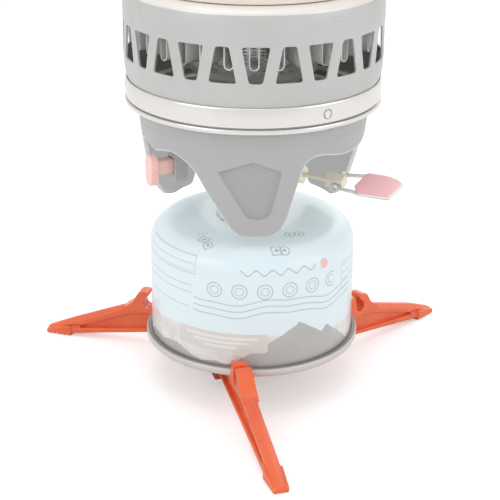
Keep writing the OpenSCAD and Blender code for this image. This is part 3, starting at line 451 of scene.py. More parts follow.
def bandFinish():
    w = bandSizes
    colour = srgb(236, 233, 230)
    f = Finish("bandSteel", colour, 0.26, 1.0)
    x, y, z = f.axes((1000, 1000, 1000))
    lines = f.cloud(60, 3, (1, 1, 60))
    smudge = f.cloud(40, 3).ramp(0.3, 0.8)
    plain = f.mix(smudge * 0.3, colour, srgb(222, 219, 216))
    # painted shade in the crease and a painted shadow line under the bead
    crease = (z - w["crease"]).size().ramp(0.6, 0.25)
    beadShadowLine = (z - w["beadShadowLine"]).size().ramp(0.5, 0.2) * 0.6
    shaded = f.mix(crease.either(beadShadowLine) * 0.85, plain, srgb(150, 147, 144))
    outside = (x * x + y * y) ** 0.5 > w["lineRadius"]
    for turn in w["dimpleTurns"]:  # painted shade: a dark line round each dimple
        spot = polar(w["radius"], turn, w["dimpleHeight"]) * 1000
        gap = ((x - spot.x) ** 2.0 + (y - spot.y) ** 2.0 + (z - spot.z) ** 2.0) ** 0.5
        shaded = f.mix((gap - 1.8).size().ramp(0.5, 0.2) * 0.7, shaded, srgb(138, 136, 134))
    f.set("Base Color", f.mix(outside, plain, shaded))
    f.set("Roughness", lines * 0.06 + 0.22)
    f.set("Normal", f.bump(lines, 0.000004, 0.06))
    return f.material


def paintedPotFinish(name, colour, deep):
    f = Finish(name, colour, 0.42, 0.25, Specular_IOR_Level=0.5)
    f.wear(colour, deep, 45, (0.36, 0.5))
    f.set("Normal", f.bump(f.cloud(1800, 2), 0.00003, 0.3))
    return f.material


def plainFinish(name, colour, roughness, deep=None, metallic=0.0, scale=1200, height=0.00004):
    f = Finish(name, colour, roughness, metallic)
    f.wear(colour, deep or tuple(c * 0.85 for c in colour[:3]) + (1,), 110,
           (roughness * 0.85, min(1, roughness * 1.2)))
    f.set("Normal", f.bump(f.cloud(scale, 2), height, 0.35))
    return f.material


label = {  # the canister's print: heights above the floor and widths along the wall, in mm
    "wallRadius": 45.0, "hillTop": 34.5, "peaks": ((21.0, 42.0, 0.60), (36.0, 37.0, 0.75)),
    "plate": (-13.5, 33.6, 41.0, 8.8), "bars": ((2.1, 0.8), (0.0, 0.62), (-2.1, 0.35)),
    "rings": (-16.0, 57.6, 5.4, 3.2), "disc": (33.5, 66.0, 2.1), "wave": (12.0, 66.0, 17.0),
    "contours": (14.0, 49.6, 40.0), "contourSteps": (2.9, 0.0, -2.9), "framedAbove": 60,
    "rules": ((-60, -25, 62.5, 70.5), (-62, -26, 51.0, 59.5), (-62, -27, 43.0, 49.0), (46, 64, 50, 62)),
    "domeMarks": ((-42, 31.5, "pinkRing"), (-35, 35.0, "square"), (-29, 38.2, "lozenge"),
                  (33, 29.0, "lozenge"), (41, 30.5, "ring"), (15, 39.0, "square"), (20, 39.4, "ring"))}


def canisterPaintFinish():
    sky, pale, ink = srgb(221, 236, 242), srgb(231, 238, 241), srgb(150, 160, 166)
    pink = srgb(236, 196, 190)
    f = Finish("canisterPaint", sky, 0.34, 0.0, Coat_Weight=0.3, Coat_Roughness=0.07,
               Specular_IOR_Level=0.35)
    x, y, z = f.axes((1000, 1000, 1000))
    arc = f.turn(x, y) * label["wallRadius"]  # length along the wall from the front, in mm
    rough = f.cloud(350, 4)

    def beyond(value, centre, half):  # how far a value lies outside a band
        return (value - centre).size() - half

    # pale hills all round, and a grey massif with two peaks
    low = (arc * 0.1111).sine() * 2.2 + (arc * 0.3111).sine() * 0.9 + label["hillTop"]
    snow = f.mix(f.cloud(160, 5).ramp(0.35, 0.62), srgb(214, 209, 206), srgb(230, 226, 223))
    # painted light: the dome is made lighter against the shade of the base above it
    dome = f.mix(z.ramp(71, 74.5), sky, srgb(234, 250, 255))
    colour = f.mix(z.ramp(66, 30) * 0.5, dome, pale)
    colour = f.mix((low - z + rough * 1.6).ramp(0.0, 0.8), colour, snow)
    massif = low - 9.0
    for centre, height, slope in label["peaks"]:
        massif = massif.either((arc - centre).size() * -slope + height)
    edge = massif - z + rough * 2.4 - 1.2
    rock = f.mix(f.cloud(90, 3), srgb(174, 173, 171), srgb(190, 189, 187))
    colour = f.mix(edge.ramp(0.0, 0.25), colour, rock)
    # a plain plate with three light bars
    centre, height, width, tall = label["plate"]
    side, rise = beyond(arc, centre, width / 2), beyond(z, height, tall / 2)
    plate = side.either(rise).either((side + rise) * 0.7071 + 0.75)
    colour = f.mix(plate.ramp(0.15, -0.15), colour, srgb(214, 211, 207))
    for lift, share in label["bars"]:
        bar = beyond(z, height + lift, 0.55).either(beyond(arc, centre, width * share / 2))
        colour = f.mix(bar.ramp(0.12, -0.12) * 0.75, colour, srgb(236, 234, 231))
    # a row of outlined rings, then a disc and a wavy line above it
    first, height, pitch, radius = label["rings"]
    ringX = arc - first
    cell = f.signal("ShaderNodeMath", 0, {0: ringX, 1: pitch}, {"operation": "PINGPONG"})
    gap = (cell * cell + (z - height) ** 2.0) ** 0.5
    ring = (gap - radius).size().ramp(0.36, 0.14).either((gap - radius * 0.55).size().ramp(0.3, 0.1))
    colour = f.mix(ring * (ringX > -radius - 0.6) * (ringX < 55.5) * 0.62, colour, ink)
    centre, height, radius = label["disc"]
    disc = ((arc - centre) ** 2.0 + (z - height) ** 2.0) ** 0.5
    colour = f.mix(disc.ramp(radius + 0.2, radius - 0.1) * 0.75, colour, srgb(244, 172, 166))
    centre, height, width = label["wave"]
    wave = (z - height - (arc * 0.9).sine() * 1.1).size().ramp(0.5, 0.2)
    colour = f.mix(wave * ((arc - centre).size() < width) * 0.6, colour, ink)
    # contour lines below the rings
    centre, height, width = label["contours"]
    bend = (arc * 0.13).sine() * 1.3 + (arc * 0.31).sine() * 0.5
    for step in label["contourSteps"]:
        line = (z - height - step - bend).size().ramp(0.42, 0.18) * ((arc - centre).size() < width)
        colour = f.mix(line * 0.5, colour, ink)
    # blocks of fine rules, the higher ones framed
    rule = (z * 1.9).sine().ramp(0.72, 0.92)
    for start, end, bottom, top in label["rules"]:
        inside = beyond(arc, (start + end) / 2, (end - start) / 2)
        inside = inside.either(beyond(z, (bottom + top) / 2, (top - bottom) / 2))
        colour = f.mix(rule * inside.ramp(-0.9, -1.1) * 0.34, colour, ink)
        if top > label["framedAbove"]:
            colour = f.mix((inside + 0.2).size().ramp(0.3, 0.12) * 0.5, colour, ink)
    # small framed marks on the dome
    for azimuth, radius, kind in label["domeMarks"]:
        a = math.radians(azimuth)
        dx, dy = x - radius * math.sin(a), y + radius * math.cos(a)
        across, outwards = dx * math.cos(a) + dy * math.sin(a), dy * math.cos(a) - dx * math.sin(a)
        if kind == "square":
            shape = across.size().either(outwards.size())
        elif kind == "lozenge":
            shape = (across.size() + outwards.size()) * 0.8
        else:
            shape = (dx * dx + dy * dy) ** 0.5
        mark = (shape - 2.0).size().ramp(0.32, 0.14).either(shape.ramp(0.9, 0.6))
        colour = f.mix(mark * (z > 66.0) * 0.7, colour, pink if kind == "pinkRing" else ink)
    f.set("Base Color", colour)
    smudge = f.cloud(70, 3).ramp(0.4, 0.8)
    f.set("Roughness", smudge * 0.1 + 0.32)
    f.set("Normal", f.bump(f.cloud(120, 2), 0.0002, 0.08))
    return f.material


def cosyFinish():
    f = Finish("cosyFabric", srgb(228, 218, 208), 0.9, 0.0, Sheen_Weight=0.25, Sheen_Roughness=0.5)
    x, y, z = f.axes()
    weft = (f.turn(x, y) * 330.0).sine()
    warp = (z * 6800.0).sine()
    weave = weft * warp * 0.5 + 0.5
    blotch = f.cloud(60, 4).ramp(0.3, 0.75)
    colour = f.mix(weave * 0.5, srgb(242, 234, 225), srgb(226, 215, 204))
    f.set("Base Color", f.mix(blotch * 0.25, colour, srgb(232, 221, 210)))
    f.set("Normal", f.bump(weave, 0.00025, 0.5, f.bump(f.cloud(90, 3), 0.0012, 0.2)))
    return f.material


finishes = {
    "leg_plastic": legPlasticFinish(),
    "steel": satinSteelFinish("steel", srgb(226, 224, 221), 0.3, 0.25, 0.5),
    "rim_steel": rimFinish(),
    "canister_paint": canisterPaintFinish(),
    "brass": brassFinish(),
    "rubber_black": plainFinish("blackRubber", srgb(60, 60, 60), 0.7),
    "base_plastic": basePlasticFinish(),
    "band_steel": bandFinish(),
    # paler and less metallic: painted light inside the skirt
    "burner_steel": satinSteelFinish("burnerSteelPaintedLight", srgb(240, 238, 235), 0.35, 0.4, 0.3),
    "collar_plastic": plainFinish("collarPlastic", srgb(150, 150, 152), 0.5),
    "tab_red": plainFinish("tabRed", srgb(243, 191, 194), 0.34, srgb(236, 180, 184), 0.0, 500),
    "button_red": plainFinish("buttonRed", srgb(253, 208, 199), 0.4, srgb(248, 196, 187), 0.0, 700),
    "housing_plastic": plainFinish("housingPlastic", srgb(182, 183, 186), 0.5),
    "lead_rubber": plainFinish("leadRubber", srgb(228, 176, 160), 0.6),
    "ceramic": plainFinish("ceramic", srgb(238, 236, 230), 0.2),
    "pot_metal": paintedPotFinish("potMetal", srgb(198, 198, 196), srgb(186, 186, 185)),
    # near white: painted light on the fins inside the skirt
    "fin_metal": plainFinish("finMetalPaintedLight", srgb(246, 245, 243), 0.35, srgb(236, 235, 233), 0.1),
    "cosy_fabric": cosyFinish(),
    "grip_rubber": plainFinish("gripRubber", srgb(232, 120, 80), 0.65, srgb(214, 104, 66), 0, 1500, 0.0001),
    "lid_plastic": plainFinish("lidPlastic", srgb(178, 178, 178), 0.45),
    "knob_plastic": plainFinish("knobPlastic", srgb(140, 140, 140), 0.5),
}
# paler than steel: painted light on the valve cup in the base's shade
paleCup = plainFinish("cupSteel", srgb(226, 236, 240), 0.4, srgb(214, 225, 230))
for part in record["subparts"]:
    node = frame["nodes"][part["node"]]
    isCup = part["node"] == "canister_valve_cup"
    node.data.materials.clear()
    node.data.materials.append(paleCup if isCup else finishes[part["material_slot"]])
print("finishes made")


def place(obj, body, slot, *nodes):  # parents a finished piece to its body and hides the nodes it stands in for
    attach(obj, body)
    if nodes:
        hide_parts(*nodes)
    return obj


# stand

standSizes = {
    "rimRadius": 47.9, "seat": 18.9, "topWidth": 5.8, "ridgeWidth": 2.0, "ridgeDrop": 1.6,
    "flangeWidth": 6.8, "flangeHeight": 2.0, "webWidth": 2.4, "slope": 0.1366,
    "padLength": 12.6, "padWidth": 8.4, "toeWidth": 6.6, "toeHeight": 2.8, "kinkBack": 14.5,
    "kinkHeight": 8.7, "rootOut": 17.6, "rootHeight": 18.5, "hookWidth": 7.0, "hookTop": 27.0, "prong": 2.6,
    "eyeRadius": 4.4, "layerHeight": 3.0, "armHalf": 3.6}
legSizes = {
    "front": {"azimuth": 16.3, "offset": 18.3, "reach": 106.0, "start": 9.23, "block": 17.2, "low": 4.5},
    "left": {"azimuth": -103.5, "offset": 12.0, "reach": 104.0, "start": 0.03, "block": 8.8, "low": 7.8},
    "right": {"azimuth": 134.5, "offset": 18.5, "reach": 106.0, "start": -4.65, "block": 4.15, "low": 12.3}}
pivots = {"left": Vector((-6.098, -6.403)), "right": Vector((4.306, -4.735))}


def legPoint(leg, out, side, height):
    a = math.radians(leg["azimuth"])
    e, n = Vector((math.sin(a), -math.cos(a))), Vector((math.cos(a), math.sin(a)))
    flat = e * out + n * (side - leg["offset"])
    return Vector((flat.x, flat.y, height)) * mm


def legBeam(name, leg):
    s = standSizes
    rim = math.sqrt(s["rimRadius"] ** 2 - leg["offset"] ** 2)
    reach = leg["reach"]
    padStart = reach - s["padLength"]
    tip = reach - 17.4

    def under(out):
        return 1 + (padStart - out) * s["slope"]

    top = [(rim + 4.5, s["seat"]), (rim + s["rootOut"] - 3, s["rootHeight"] + 0.6),
           (rim + s["rootOut"], s["rootHeight"]), (reach - s["kinkBack"], s["kinkHeight"]),
           (reach - 0.4, s["toeHeight"])]
    roof = [(rim + 10, 0.0), (rim + s["rootOut"] + 4, 1.0), (reach - s["kinkBack"], 1.0), (reach - 2, 0.7)]
    upper = [(leg["block"] + 4, s["seat"] - 2.2), (rim + 5, s["seat"] - 3),
             (rim + 16, s["rootHeight"] - 3.9), (tip, 5.4)]
    lower = [(rim, under(rim) + s["flangeHeight"] - 0.2), (tip, 4.4)]
    outs = [leg["start"], leg["block"] + 3.6, leg["block"] + 4.2]
    coarse = [leg["block"] + 6 + 3.0 * i for i in range(60)]
    fine = [tip + 2 + 2.0 * i for i in range(9)]
    outs += [out for out in coarse if out < tip - 0.5] + [tip - 0.3, tip + 0.3]
    outs += [out for out in fine if out < reach - 0.6] + [reach - 0.4]
    sections = []
    for out in outs:
        low, high = under(out) if out < padStart else 1.0, along(out, top)
        carved = leg["block"] + 4 <= out <= tip
        web = s["webWidth"] / 2 if carved else s["topWidth"] / 2 - 0.05
        flange = s["flangeWidth"] / 2 if out < reach - 4 else s["toeWidth"] / 2 - 0.3
        half = s["topWidth"] / 2 if out < reach - 10 else s["topWidth"] / 2 - 0.15
        roofShare = along(out, roof)
        drop = 0.35 + s["ridgeDrop"] * roofShare
        ledge = min(max(along(out, lower), low + s["flangeHeight"] - 0.4), high - 2.2)
        roofLine = min(max(along(out, upper), ledge + 0.5), high - drop - 0.5)
        ridge = s["ridgeWidth"] / 2
        section = [
            (0, low), (flange - 0.5, low), (flange, low + 0.5), (flange, ledge - 0.5),
            (flange - 0.4, ledge - 0.1), (web + 0.3, ledge), (web, ledge + 0.25),
            (web, roofLine - 0.25), (web + 0.3, roofLine),
            (half - 0.3, roofLine + 0.15), (half, roofLine + 0.45), (half, high - drop),
            (half - 0.35, high - drop + 0.3), (ridge + 0.25, high - 0.12), (ridge, high),
            (0, high - 0.35 * roofShare)]
        whole = section + [(-x, z) for x, z in section[-2:0:-1]]
        sections.append([legPoint(leg, out, x, z) for x, z in whole])
    return loft(name, sections, finishes["leg_plastic"], 28)


def legHook(name, leg):
    s = standSizes
    rim = math.sqrt(s["rimRadius"] ** 2 - leg["offset"] ** 2)
    top = s["hookTop"]
    outline = [
        (rim + s["rootOut"] + 1.5, s["rootHeight"] - 1.6), (rim + s["rootOut"], s["rootHeight"]),
        (rim + 15, s["rootHeight"] + 1.6), (rim + 13, s["rootHeight"] + 3.6),
        (rim + 11.2, top - 1.6), (rim + 10.4, top - 0.5), (rim + 9.0, top + 0.1), (rim + 7.2, top + 0.2),
        (rim + 5.8, top - 0.2), (rim + 5.2, top - 1.2), (rim + 6.2, top - 2.1), (rim + 7.6, top - 3.2),
        (rim + 8.3, top - 5.1), (rim + 8.1, s["seat"] + 1.4), (rim + 7.2, s["seat"] + 0.3),
        (rim + 5.9, s["seat"] - 0.2), (rim + 4.4, s["seat"] + 0.4), (rim + 3.3, s["seat"] + 1.8),
        (rim + s["prong"], top - 1.3), (rim + s["prong"] - 0.6, top), (rim - 2.6, top),
        (rim - 2.6, s["seat"] - 2.6)]
    outline = softened(outline, 0.5, 2)
    rings = []
    for side in (-1, 1):
        ring = []
        for out, height in outline:
            taper = 0.35 * smooth(height, s["seat"] + 3, top)
            half = side * (s["hookWidth"] / 2 - taper)
            if height > s["seat"]:  # the prong hugs the canister's rim
                out = max(out, math.sqrt(s["rimRadius"] ** 2 - (half - leg["offset"]) ** 2) + 0.02)
            ring.append(legPoint(leg, out, half, height))
        rings.append(ring)
    return loft(name, rings, finishes["leg_plastic"], 28)


def legPad(name, leg):
    s = standSizes
    start, end = leg["reach"] - s["padLength"], leg["reach"]
    grooves = [end - 2.6 - 2.6 * i for i in range(4)]
    sections = []
    steps = 84
    for i in range(steps + 1):
        out = start + (end - start) * i / steps
        share = i / steps
        half = (s["padWidth"] * (1 - share) + s["toeWidth"] * share) / 2
        half -= 0.5 * smooth(0.8 - (out - start), 0, 0.8) + 0.25 * smooth(out, end - 0.7, end)
        groove = min(abs(out - g) for g in grooves)
        low = math.sqrt(max(0.0, 0.55 ** 2 - groove ** 2)) if groove < 0.55 else 0.0
        low += 0.25 * smooth(out, end - 0.5, end)
        high = along(out, [(start, 4.6), (start + 1.0, 5.0), (end - 0.6, 2.3), (end, 1.9)])
        section = [(0, low), (half - 0.35, low), (half, low + 0.35), (half, high - 0.5), (half - 0.45, high),
                   (0, high)]
        whole = section + [(-x, z) for x, z in section[-2:0:-1]]
        sections.append([legPoint(leg, out, x, z) for x, z in whole])
    return loft(name, sections, finishes["leg_plastic"], 28)


def slabBlock(name, leg, corners, low, high):  # upright prism over flat corners given in the leg's frame
    outline = softened(corners, 0.6, 3)
    rings = [[legPoint(leg, x, y + leg["offset"], h) for x, y in outline] for h in (low, high)]
    return loft(name, rings, finishes["leg_plastic"], 28)


def inLegFrame(leg, point):
    a = math.radians(leg["azimuth"])
    return (point.x * math.sin(a) - point.y * math.cos(a), point.x * math.cos(a) + point.y * math.sin(a))


def eyeAndArm(name, leg, pivot, low):
    s = standSizes
    px, py = inLegFrame(leg, pivot)
    half, radius = s["armHalf"], s["eyeRadius"]
    halfGap = math.degrees(math.asin(half / radius))
    turns = [(-90 + halfGap) + (360 - 2 * halfGap) * k / 28 for k in range(29)]
    outline = [circlePoint(px, py, radius, t) for t in turns]
    outline += [(px - half, -leg["offset"] - 3.0), (px + half, -leg["offset"] - 3.0)]
    heights = (low, low + s["layerHeight"])
    rings = [[legPoint(leg, x, y + leg["offset"], h) for x, y in outline] for h in heights]
    return loft(name, rings, finishes["leg_plastic"], 28)


def buildLeg(which):
    s, leg = standSizes, legSizes[which]
    start, end, low = leg["start"], leg["block"], leg["low"]
    near, far = -leg["offset"] - s["flangeWidth"] / 2, -leg["offset"] + s["flangeWidth"] / 2
    parts = [legBeam("beam", leg), legHook("hook", leg), legPad("pad", leg)]
    corners = [(start, near), (end, near), (end, far), (start, far)]
    parts.append(slabBlock("block", leg, corners, low, s["seat"]))
    if which == "front":
        left, right = inLegFrame(leg, pivots["left"]), inLegFrame(leg, pivots["right"])
        plate = [circlePoint(*left, s["eyeRadius"], t) for t in range(270, 165, -7)]
        plate += [circlePoint(*right, s["eyeRadius"], t) for t in range(165, -1, -7)]
        plate += [(end, far + 2), (end, near), (start, near)]
        parts.append(slabBlock("plate", leg, plate, low, low + s["layerHeight"]))
        body = "stand"
    else:
        parts.append(eyeAndArm("arm", leg, pivots[which], leg["low"]))
        body = which + "_leg"
    whole = joined(which + "Leg", parts)
    bevelled(whole, 0.22, 2, 35)
    return place(whole, body, "leg_plastic", "stand_" + which + "_leg")


for which in legSizes:
    buildLeg(which)
print("legs made")


# canister

canisterSizes = {
    "wall": 45.0, "rim": 47.6, "rimLow": 19.0, "rimHigh": 22.9, "top": 74.8, "shoulder": 10.2,
    "dome": 75.95, "cupRadius": 16.4, "holeRadius": 14.75}


def buildCanister():
    c = canisterSizes
    wall, top, shoulder, dome, hole = (c[k] for k in ("wall", "top", "shoulder", "dome", "holeRadius"))
    rim, low, high = c["rim"], c["rimLow"], c["rimHigh"]
    outer = [(wall - 0.6, high - 1.6), (wall - 0.15, high + 0.1), (wall, high + 0.8)]
    for i in range(25):
        t = math.radians(88 * i / 24)
        outer.append((wall - shoulder * (1 - math.cos(t)), top - 0.3 + shoulder * (math.sin(t) - 1)))
    startR, startZ = outer[-1]
    for i in range(1, 13):
        rise = math.sin(math.pi * i / 24)
        outer.append((startR + (c["cupRadius"] - startR) * i / 12, startZ + (dome - startZ) * rise))
    outer += [(hole + 0.2, dome), (hole, dome - 0.15)]
    inner = [(max(r - 0.5, hole), z - (0.5 if i > 3 else 0)) for i, (r, z) in enumerate(outer)]
    shell = lathe("canisterShell", outer + inner[::-1], finishes["canister_paint"], 256, 40)
    place(shell, "canister", "canister_paint", "canister_shell")
    mid, half = (low + high) / 2, (high - low) / 2
    roll = [(rim - 3.9, high - 0.4), (rim - 3.9, low + 0.8), (rim - 3.4, low + 0.1)]
    for i in range(13):
        t = math.radians(-90 + 180 * i / 12)
        roll.append((rim - half + half * math.cos(t) ** 0.55, mid + half * math.sin(t)))
    roll += [(wall + 0.12, high - 0.25), (wall + 0.02, high - 0.8)]
    rolled = lathe("canisterRim", roll, finishes["rim_steel"], 256, 40)
    arch = [(43.6, -0.6), (38, 1.8), (30, 4.0), (20, 5.9), (10, 6.8), (0, 7.0)]
    sheet = [(r, high + z) for r, z in arch] + [(r, high + z - 0.7) for r, z in arch[::-1]]
    bottom = lathe("canisterDome", sheet, finishes["rim_steel"], 192, 40)
    whole = joined("canisterFoot", [rolled, bottom])
    return place(whole, "canister", "rim_steel", "canister_base")


buildCanister()
print("canister made")


# burner base

baseSizes = {
    "low": 80.1, "floor": 121.8, "top": 127.8, "lowRadius": 39.2, "topRadius": 49.3, "lean": 0.118,
    "curlHeight": 25.0, "wall": 2.4, "toeAzimuth": 1.9, "shieldDepth": 1.1, "shieldMargin": 0.5,
    "lineHeight": 122.2, "lineDepth": 0.25, "columnStep": (0.4, 0.9), "rows": 104}


def baseRadius(height):
    b = baseSizes
    straight = b["topRadius"] - b["lean"] * (b["top"] - height)
    curl = (b["topRadius"] - b["lean"] * (b["top"] - b["low"]) - b["lowRadius"]) / b["curlHeight"] ** 2
    return straight - curl * max(0, b["low"] + b["curlHeight"] - height) ** 2


def archEdge(azimuth):  # height of the base's lower edge at an azimuth
    low = baseSizes["low"]
    a = (azimuth - baseSizes["toeAzimuth"] + 180) % 360 - 180
    # (turn from the toe's middle, height) along a toe's side and on to the middle of the arch
    broad = [(0, low), (6.6, low), (9.7, low + 0.6), (13.4, 83.1), (15.5, 86.0), (19.3, 92.3), (24.1, 98.9),
             (28.1, 104.8), (30.6, 108.5), (34.2, 111.6), (38.0, 113.5), (42.1, 115.0), (46.6, 115.5),
             (53.4, 114.6), (60, 113.1)]
    steep = [(0, low), (7.4, low), (10.2, low + 0.8), (14.4, 82.9), (16.8, 88.3), (18.1, 94.7),
             (19.5, 100.8), (21.3, 105.9), (22.6, 110.9), (24.2, 113.3), (26.7, 115.1), (30.4, 116.2),
             (36.6, 115.8), (45.0, 114.2), (53.7, 113.3), (60, 113.3)]
    gentle = [(0, low), (5, low), (11.5, low + 0.9), (18.1, 82.4), (22, 84.5), (25.7, 87.4), (28, 91),
              (29.8, 96), (31.2, 103), (32.5, 108.5), (35.5, 111.6), (39, 113.5), (42.6, 115.0),
              (46.8, 115.5), (53.4, 114.6), (60, 113.1)]
    toe = round(a / 120) * 120
    off = a - toe
    if toe == -120 and off > 0:
        return along(off, gentle)
    isSteep = (toe == 0 and off > 0) or (toe == 120 and off < 0)  # both sides of the right arch
    turn = abs(off)
    if toe:  # the two rear toes are broader
        turn -= (2.5 if isSteep else 4.5) * min(1, (60 - turn) / 25)
    return along(turn, steep if isSteep else broad)


def shieldShare(azimuth, height):  # 1 inside the sunk panel on each toe
    b = baseSizes
    a = (azimuth - b["toeAzimuth"] + 60) % 120 - 60
    x = baseRadius(height) * math.sin(math.radians(a))
    outline = [(-1.3, 115.6), (-15.3, 110.3), (-14.6, 108.6), (-5.0, 91.5), (-3.0, 89.3), (1.0, 88.7),
               (4.2, 89.5), (6.4, 92.1), (10.3, 109.1), (9.9, 110.9)]
    depth = 1e9
    for (ax, ay), (bx, by) in zip(outline, outline[1:] + outline[:1]):
        edge = Vector((bx - ax, by - ay))
        depth = min(depth, edge.cross(Vector((x - ax, height - ay))) / edge.length)
    return smooth(depth, 0.0, b["shieldMargin"])


def buildBase():
    b = baseSizes
    fine, coarse = b["columnStep"]
    turns, a = [], -180.0
    while a < 180 - 0.01:  # closer columns across each toe's sunk panel
        turns.append(a + b["toeAzimuth"])
        a += fine if abs((a + 60) % 120 - 60) < 22 else coarse
    columns = len(turns)
    edge = [archEdge(t) for t in turns]
    for _ in range(3):  # rounds the corners of the outline
        edge = [(edge[i - 1] + 2 * edge[i] + edge[(i + 1) % columns]) / 4 for i in range(columns)]
    points, rings, panelAndPaintedLight = [], [], []

    def ring(func):
        rings.append(len(points))
        for i in range(columns):
            points.append(func(i, turns[i]))

    def skinPoint(azimuth, height, inset):
        share = shieldShare(azimuth, height) if inset == 0 else 0
        # inner faces take -1.25: painted light
        panelAndPaintedLight.append(share if inset < 1 else -1.25)
        groove = b["lineDepth"] * math.exp(-((height - b["lineHeight"]) / 0.45) ** 2) * (inset == 0)
        return polar(baseRadius(height) - inset - b["shieldDepth"] * share - groove, azimuth, height)

    lift = b["wall"] / 2
    start = 117.0
    heights = [b["top"] - x for x in (0, 0.3, 2.2, 4.0, 4.8, 5.1, 5.35, 5.6, 5.85, 6.1, 6.6, 8.5)]
    for height in heights:
        ring(lambda i, a: skinPoint(a, height, 0.25 if height == b["top"] else 0))
    for j in range(b["rows"] + 1):  # outer skin down to just above the edge
        share = j / b["rows"]
        ring(lambda i, a: skinPoint(a, start + (edge[i] + lift * 0.35 - start) * share, 0))
    for k in range(1, 8):  # squarish rounded edge, pushed out of the opening along its own slope
        t = math.pi * k / 8
        across = math.copysign(abs(math.cos(t)) ** 0.5, math.cos(t))

        def rim(i, a):
            low, high = (i - 1) % columns, (i + 1) % columns
            radius = baseRadius(edge[i])
            run = math.radians((turns[high] - turns[low]) % 360) * radius
            slope = Vector((edge[high] - edge[low], -run)).normalized()
            bulge = lift * (0.8 * math.sin(t) ** 0.5 - 0.35)
            # the rounded edge takes -1: a painted highlight
            panelAndPaintedLight.append(-1)
            return polar(radius - lift + lift * across, a + math.degrees(slope.x * bulge / radius),
                         edge[i] + max(slope.y * bulge, b["low"] - edge[i]))
        ring(rim)
    inner = b["floor"] - 2.2
    for j in range(31):
        share = 1 - j / 30
        ring(lambda i, a: skinPoint(a, inner + (edge[i] + lift * 0.35 - inner) * share, b["wall"]))
    ring(lambda i, a: skinPoint(a, b["floor"], b["wall"]))
    ring(lambda i, a: skinPoint(a, b["top"], b["wall"]))
    faces = []
    for low, high in zip(rings, rings[1:] + rings[:1]):
        for i in range(columns):
            k = (i + 1) % columns
            faces.append([low + i, low + k, high + k, high + i])
    shell = fromFaces("baseSkin", points, faces, finishes["base_plastic"], 50)
    deck, plastic = b["floor"], finishes["base_plastic"]
    wall = baseRadius(deck) - b["wall"] + 0.1
    disc = [(9.5, deck - 2.2), (wall, deck - 2.2), (wall, deck), (9.5, deck)]
    floorDisc = lathe("baseFloor", disc, plastic, 240, 40)
    boss = [(1.6, deck - 2.1), (1.6, deck - 6.2), (3.6, deck - 6.2), (4.0, deck - 5.8), (4.0, deck - 2.1)]
    bosses = []
    for i in range(3):
        centre = Matrix.Translation(polar(38, b["toeAzimuth"] + 120 * i, 0))
        bosses.append(lathe("boss", boss, plastic, 32, 40, move=centre))
    whole = joined("burnerBase", [shell, floorDisc] + bosses)
    # 1 in the panels, -1 on the openings' edges for a painted highlight, less still on the inside for
    # painted light
    mark = whole.data.attributes.new("panelAndPaintedLight", "FLOAT", "POINT")
    spots = {tuple(round(c, 6) for c in p): share for p, share in zip(points, panelAndPaintedLight) if share}
    for i, vert in enumerate(whole.data.vertices):
        inside = vert.co.z < 0.1198 and vert.co.xy.length < (baseRadius(vert.co.z / mm) - 2) * mm
        mark.data[i].value = spots.get(tuple(round(c, 6) for c in vert.co), -1.25 if inside else 0)
    return place(whole, "burner", "base_plastic", "base_shell")


buildBase()
print("burner base made")


# burner bowl and windscreen band

def buildBowl():
    w = bandSizes
    r, t, top, crease, foot, pan, flange = (
        w[k] for k in ("radius", "sheet", "top", "crease", "foot", "pan", "flange"))
    bead = r + w["bead"]

    def near(x, z, steps):  # points given by their distance from (x, z)
        return [(x + dx, z + dz) for dx, dz in steps]

    # the outer face from the lip down to the hole, then the inner face back up
    profile = near(r, top, ((-t, -0.3), (0.25 - t, -0.04), (-0.4, 0), (-0.1, -0.25), (0, -0.7)))
    profile += near(r, crease, ((0, 1.0), (-0.05, 0.6), (-0.2, 0.3)))
    profile += near(r, crease, ((-0.5, 0.1), (-0.5, -0.1), (-0.2, -0.3)))
    profile += near(bead, crease, ((-0.1, -0.5), (0, -0.9), (0.02, -1.4), (-0.05, -1.9)))
    profile += near(r, crease, ((-0.05, -2.3), (-0.6, -2.55)))
    profile += near(r, flange, ((-1.4, 0.3), (-2.0, 0.06), (-2.8, 0)))
    profile += near(pan, flange, ((0.5, 0), (0.08, -0.3), (0, -0.8)))
    profile += near(pan, foot, ((0, 3.0), (-0.3, 1.8), (-1.0, 0.9), (-2.0, 0.3), (-3.2, 0.02)))
    profile += [(12, foot + 0.02), (7.1, foot + 0.02), (7.1, foot + t), (pan - 3.6, foot + t)]
    profile += near(pan, foot, ((-2.5, 1.1), (-1.6, 1.7), (-1.0, 2.5), (-t, 3.4)))
    profile += near(pan, flange, ((-t, 0.2), (-0.4, 0.7), (0, t)))
    profile += near(r, flange + t, ((-2.7, 0), (-2.0, 0.1), (-1.3, 0.5), (-0.9, 1.2)))
    profile += near(r, crease, ((-t, -0.9), (-t, -0.5), (-1.25, -0.1), (-1.25, 0.1), (-t, 0.5)))
    parts = [lathe("bowlSheet", profile, finishes["band_steel"], 288, 50)]
    dimple = [(2.05, -0.25), (2.0, 0.02), (1.75, 0.2), (1.45, 0.16), (1.2, -0.05), (0.8, -0.22),
              (0.45, -0.1), (0.2, 0.1), (0, 0.16)]
    for turn in w["dimpleTurns"]:  # punched locking dimples
        spot = onWall(r, turn, w["dimpleHeight"])
        parts.append(lathe("dimple", dimple, finishes["band_steel"], 40, 60, closed=False, move=spot))
    whole = joined("burnerBowl", parts)
    return place(whole, "burner", "band_steel", "burner_bowl")


buildBowl()
print("bowl made")


# pot's skirt

skirtSizes = {
    "foot": 131.6, "bandTop": 139.4, "flareTop": 148, "top": 175.8, "footRadius": 52.9, "radius": 54.4,
    "sheet": 0.8, "windowLow": 149.3, "windowHigh": 163.7, "wide": 5.86, "narrow": 2.83, "count": 26,
    "firstTurn": 1.0, "bends": 24}


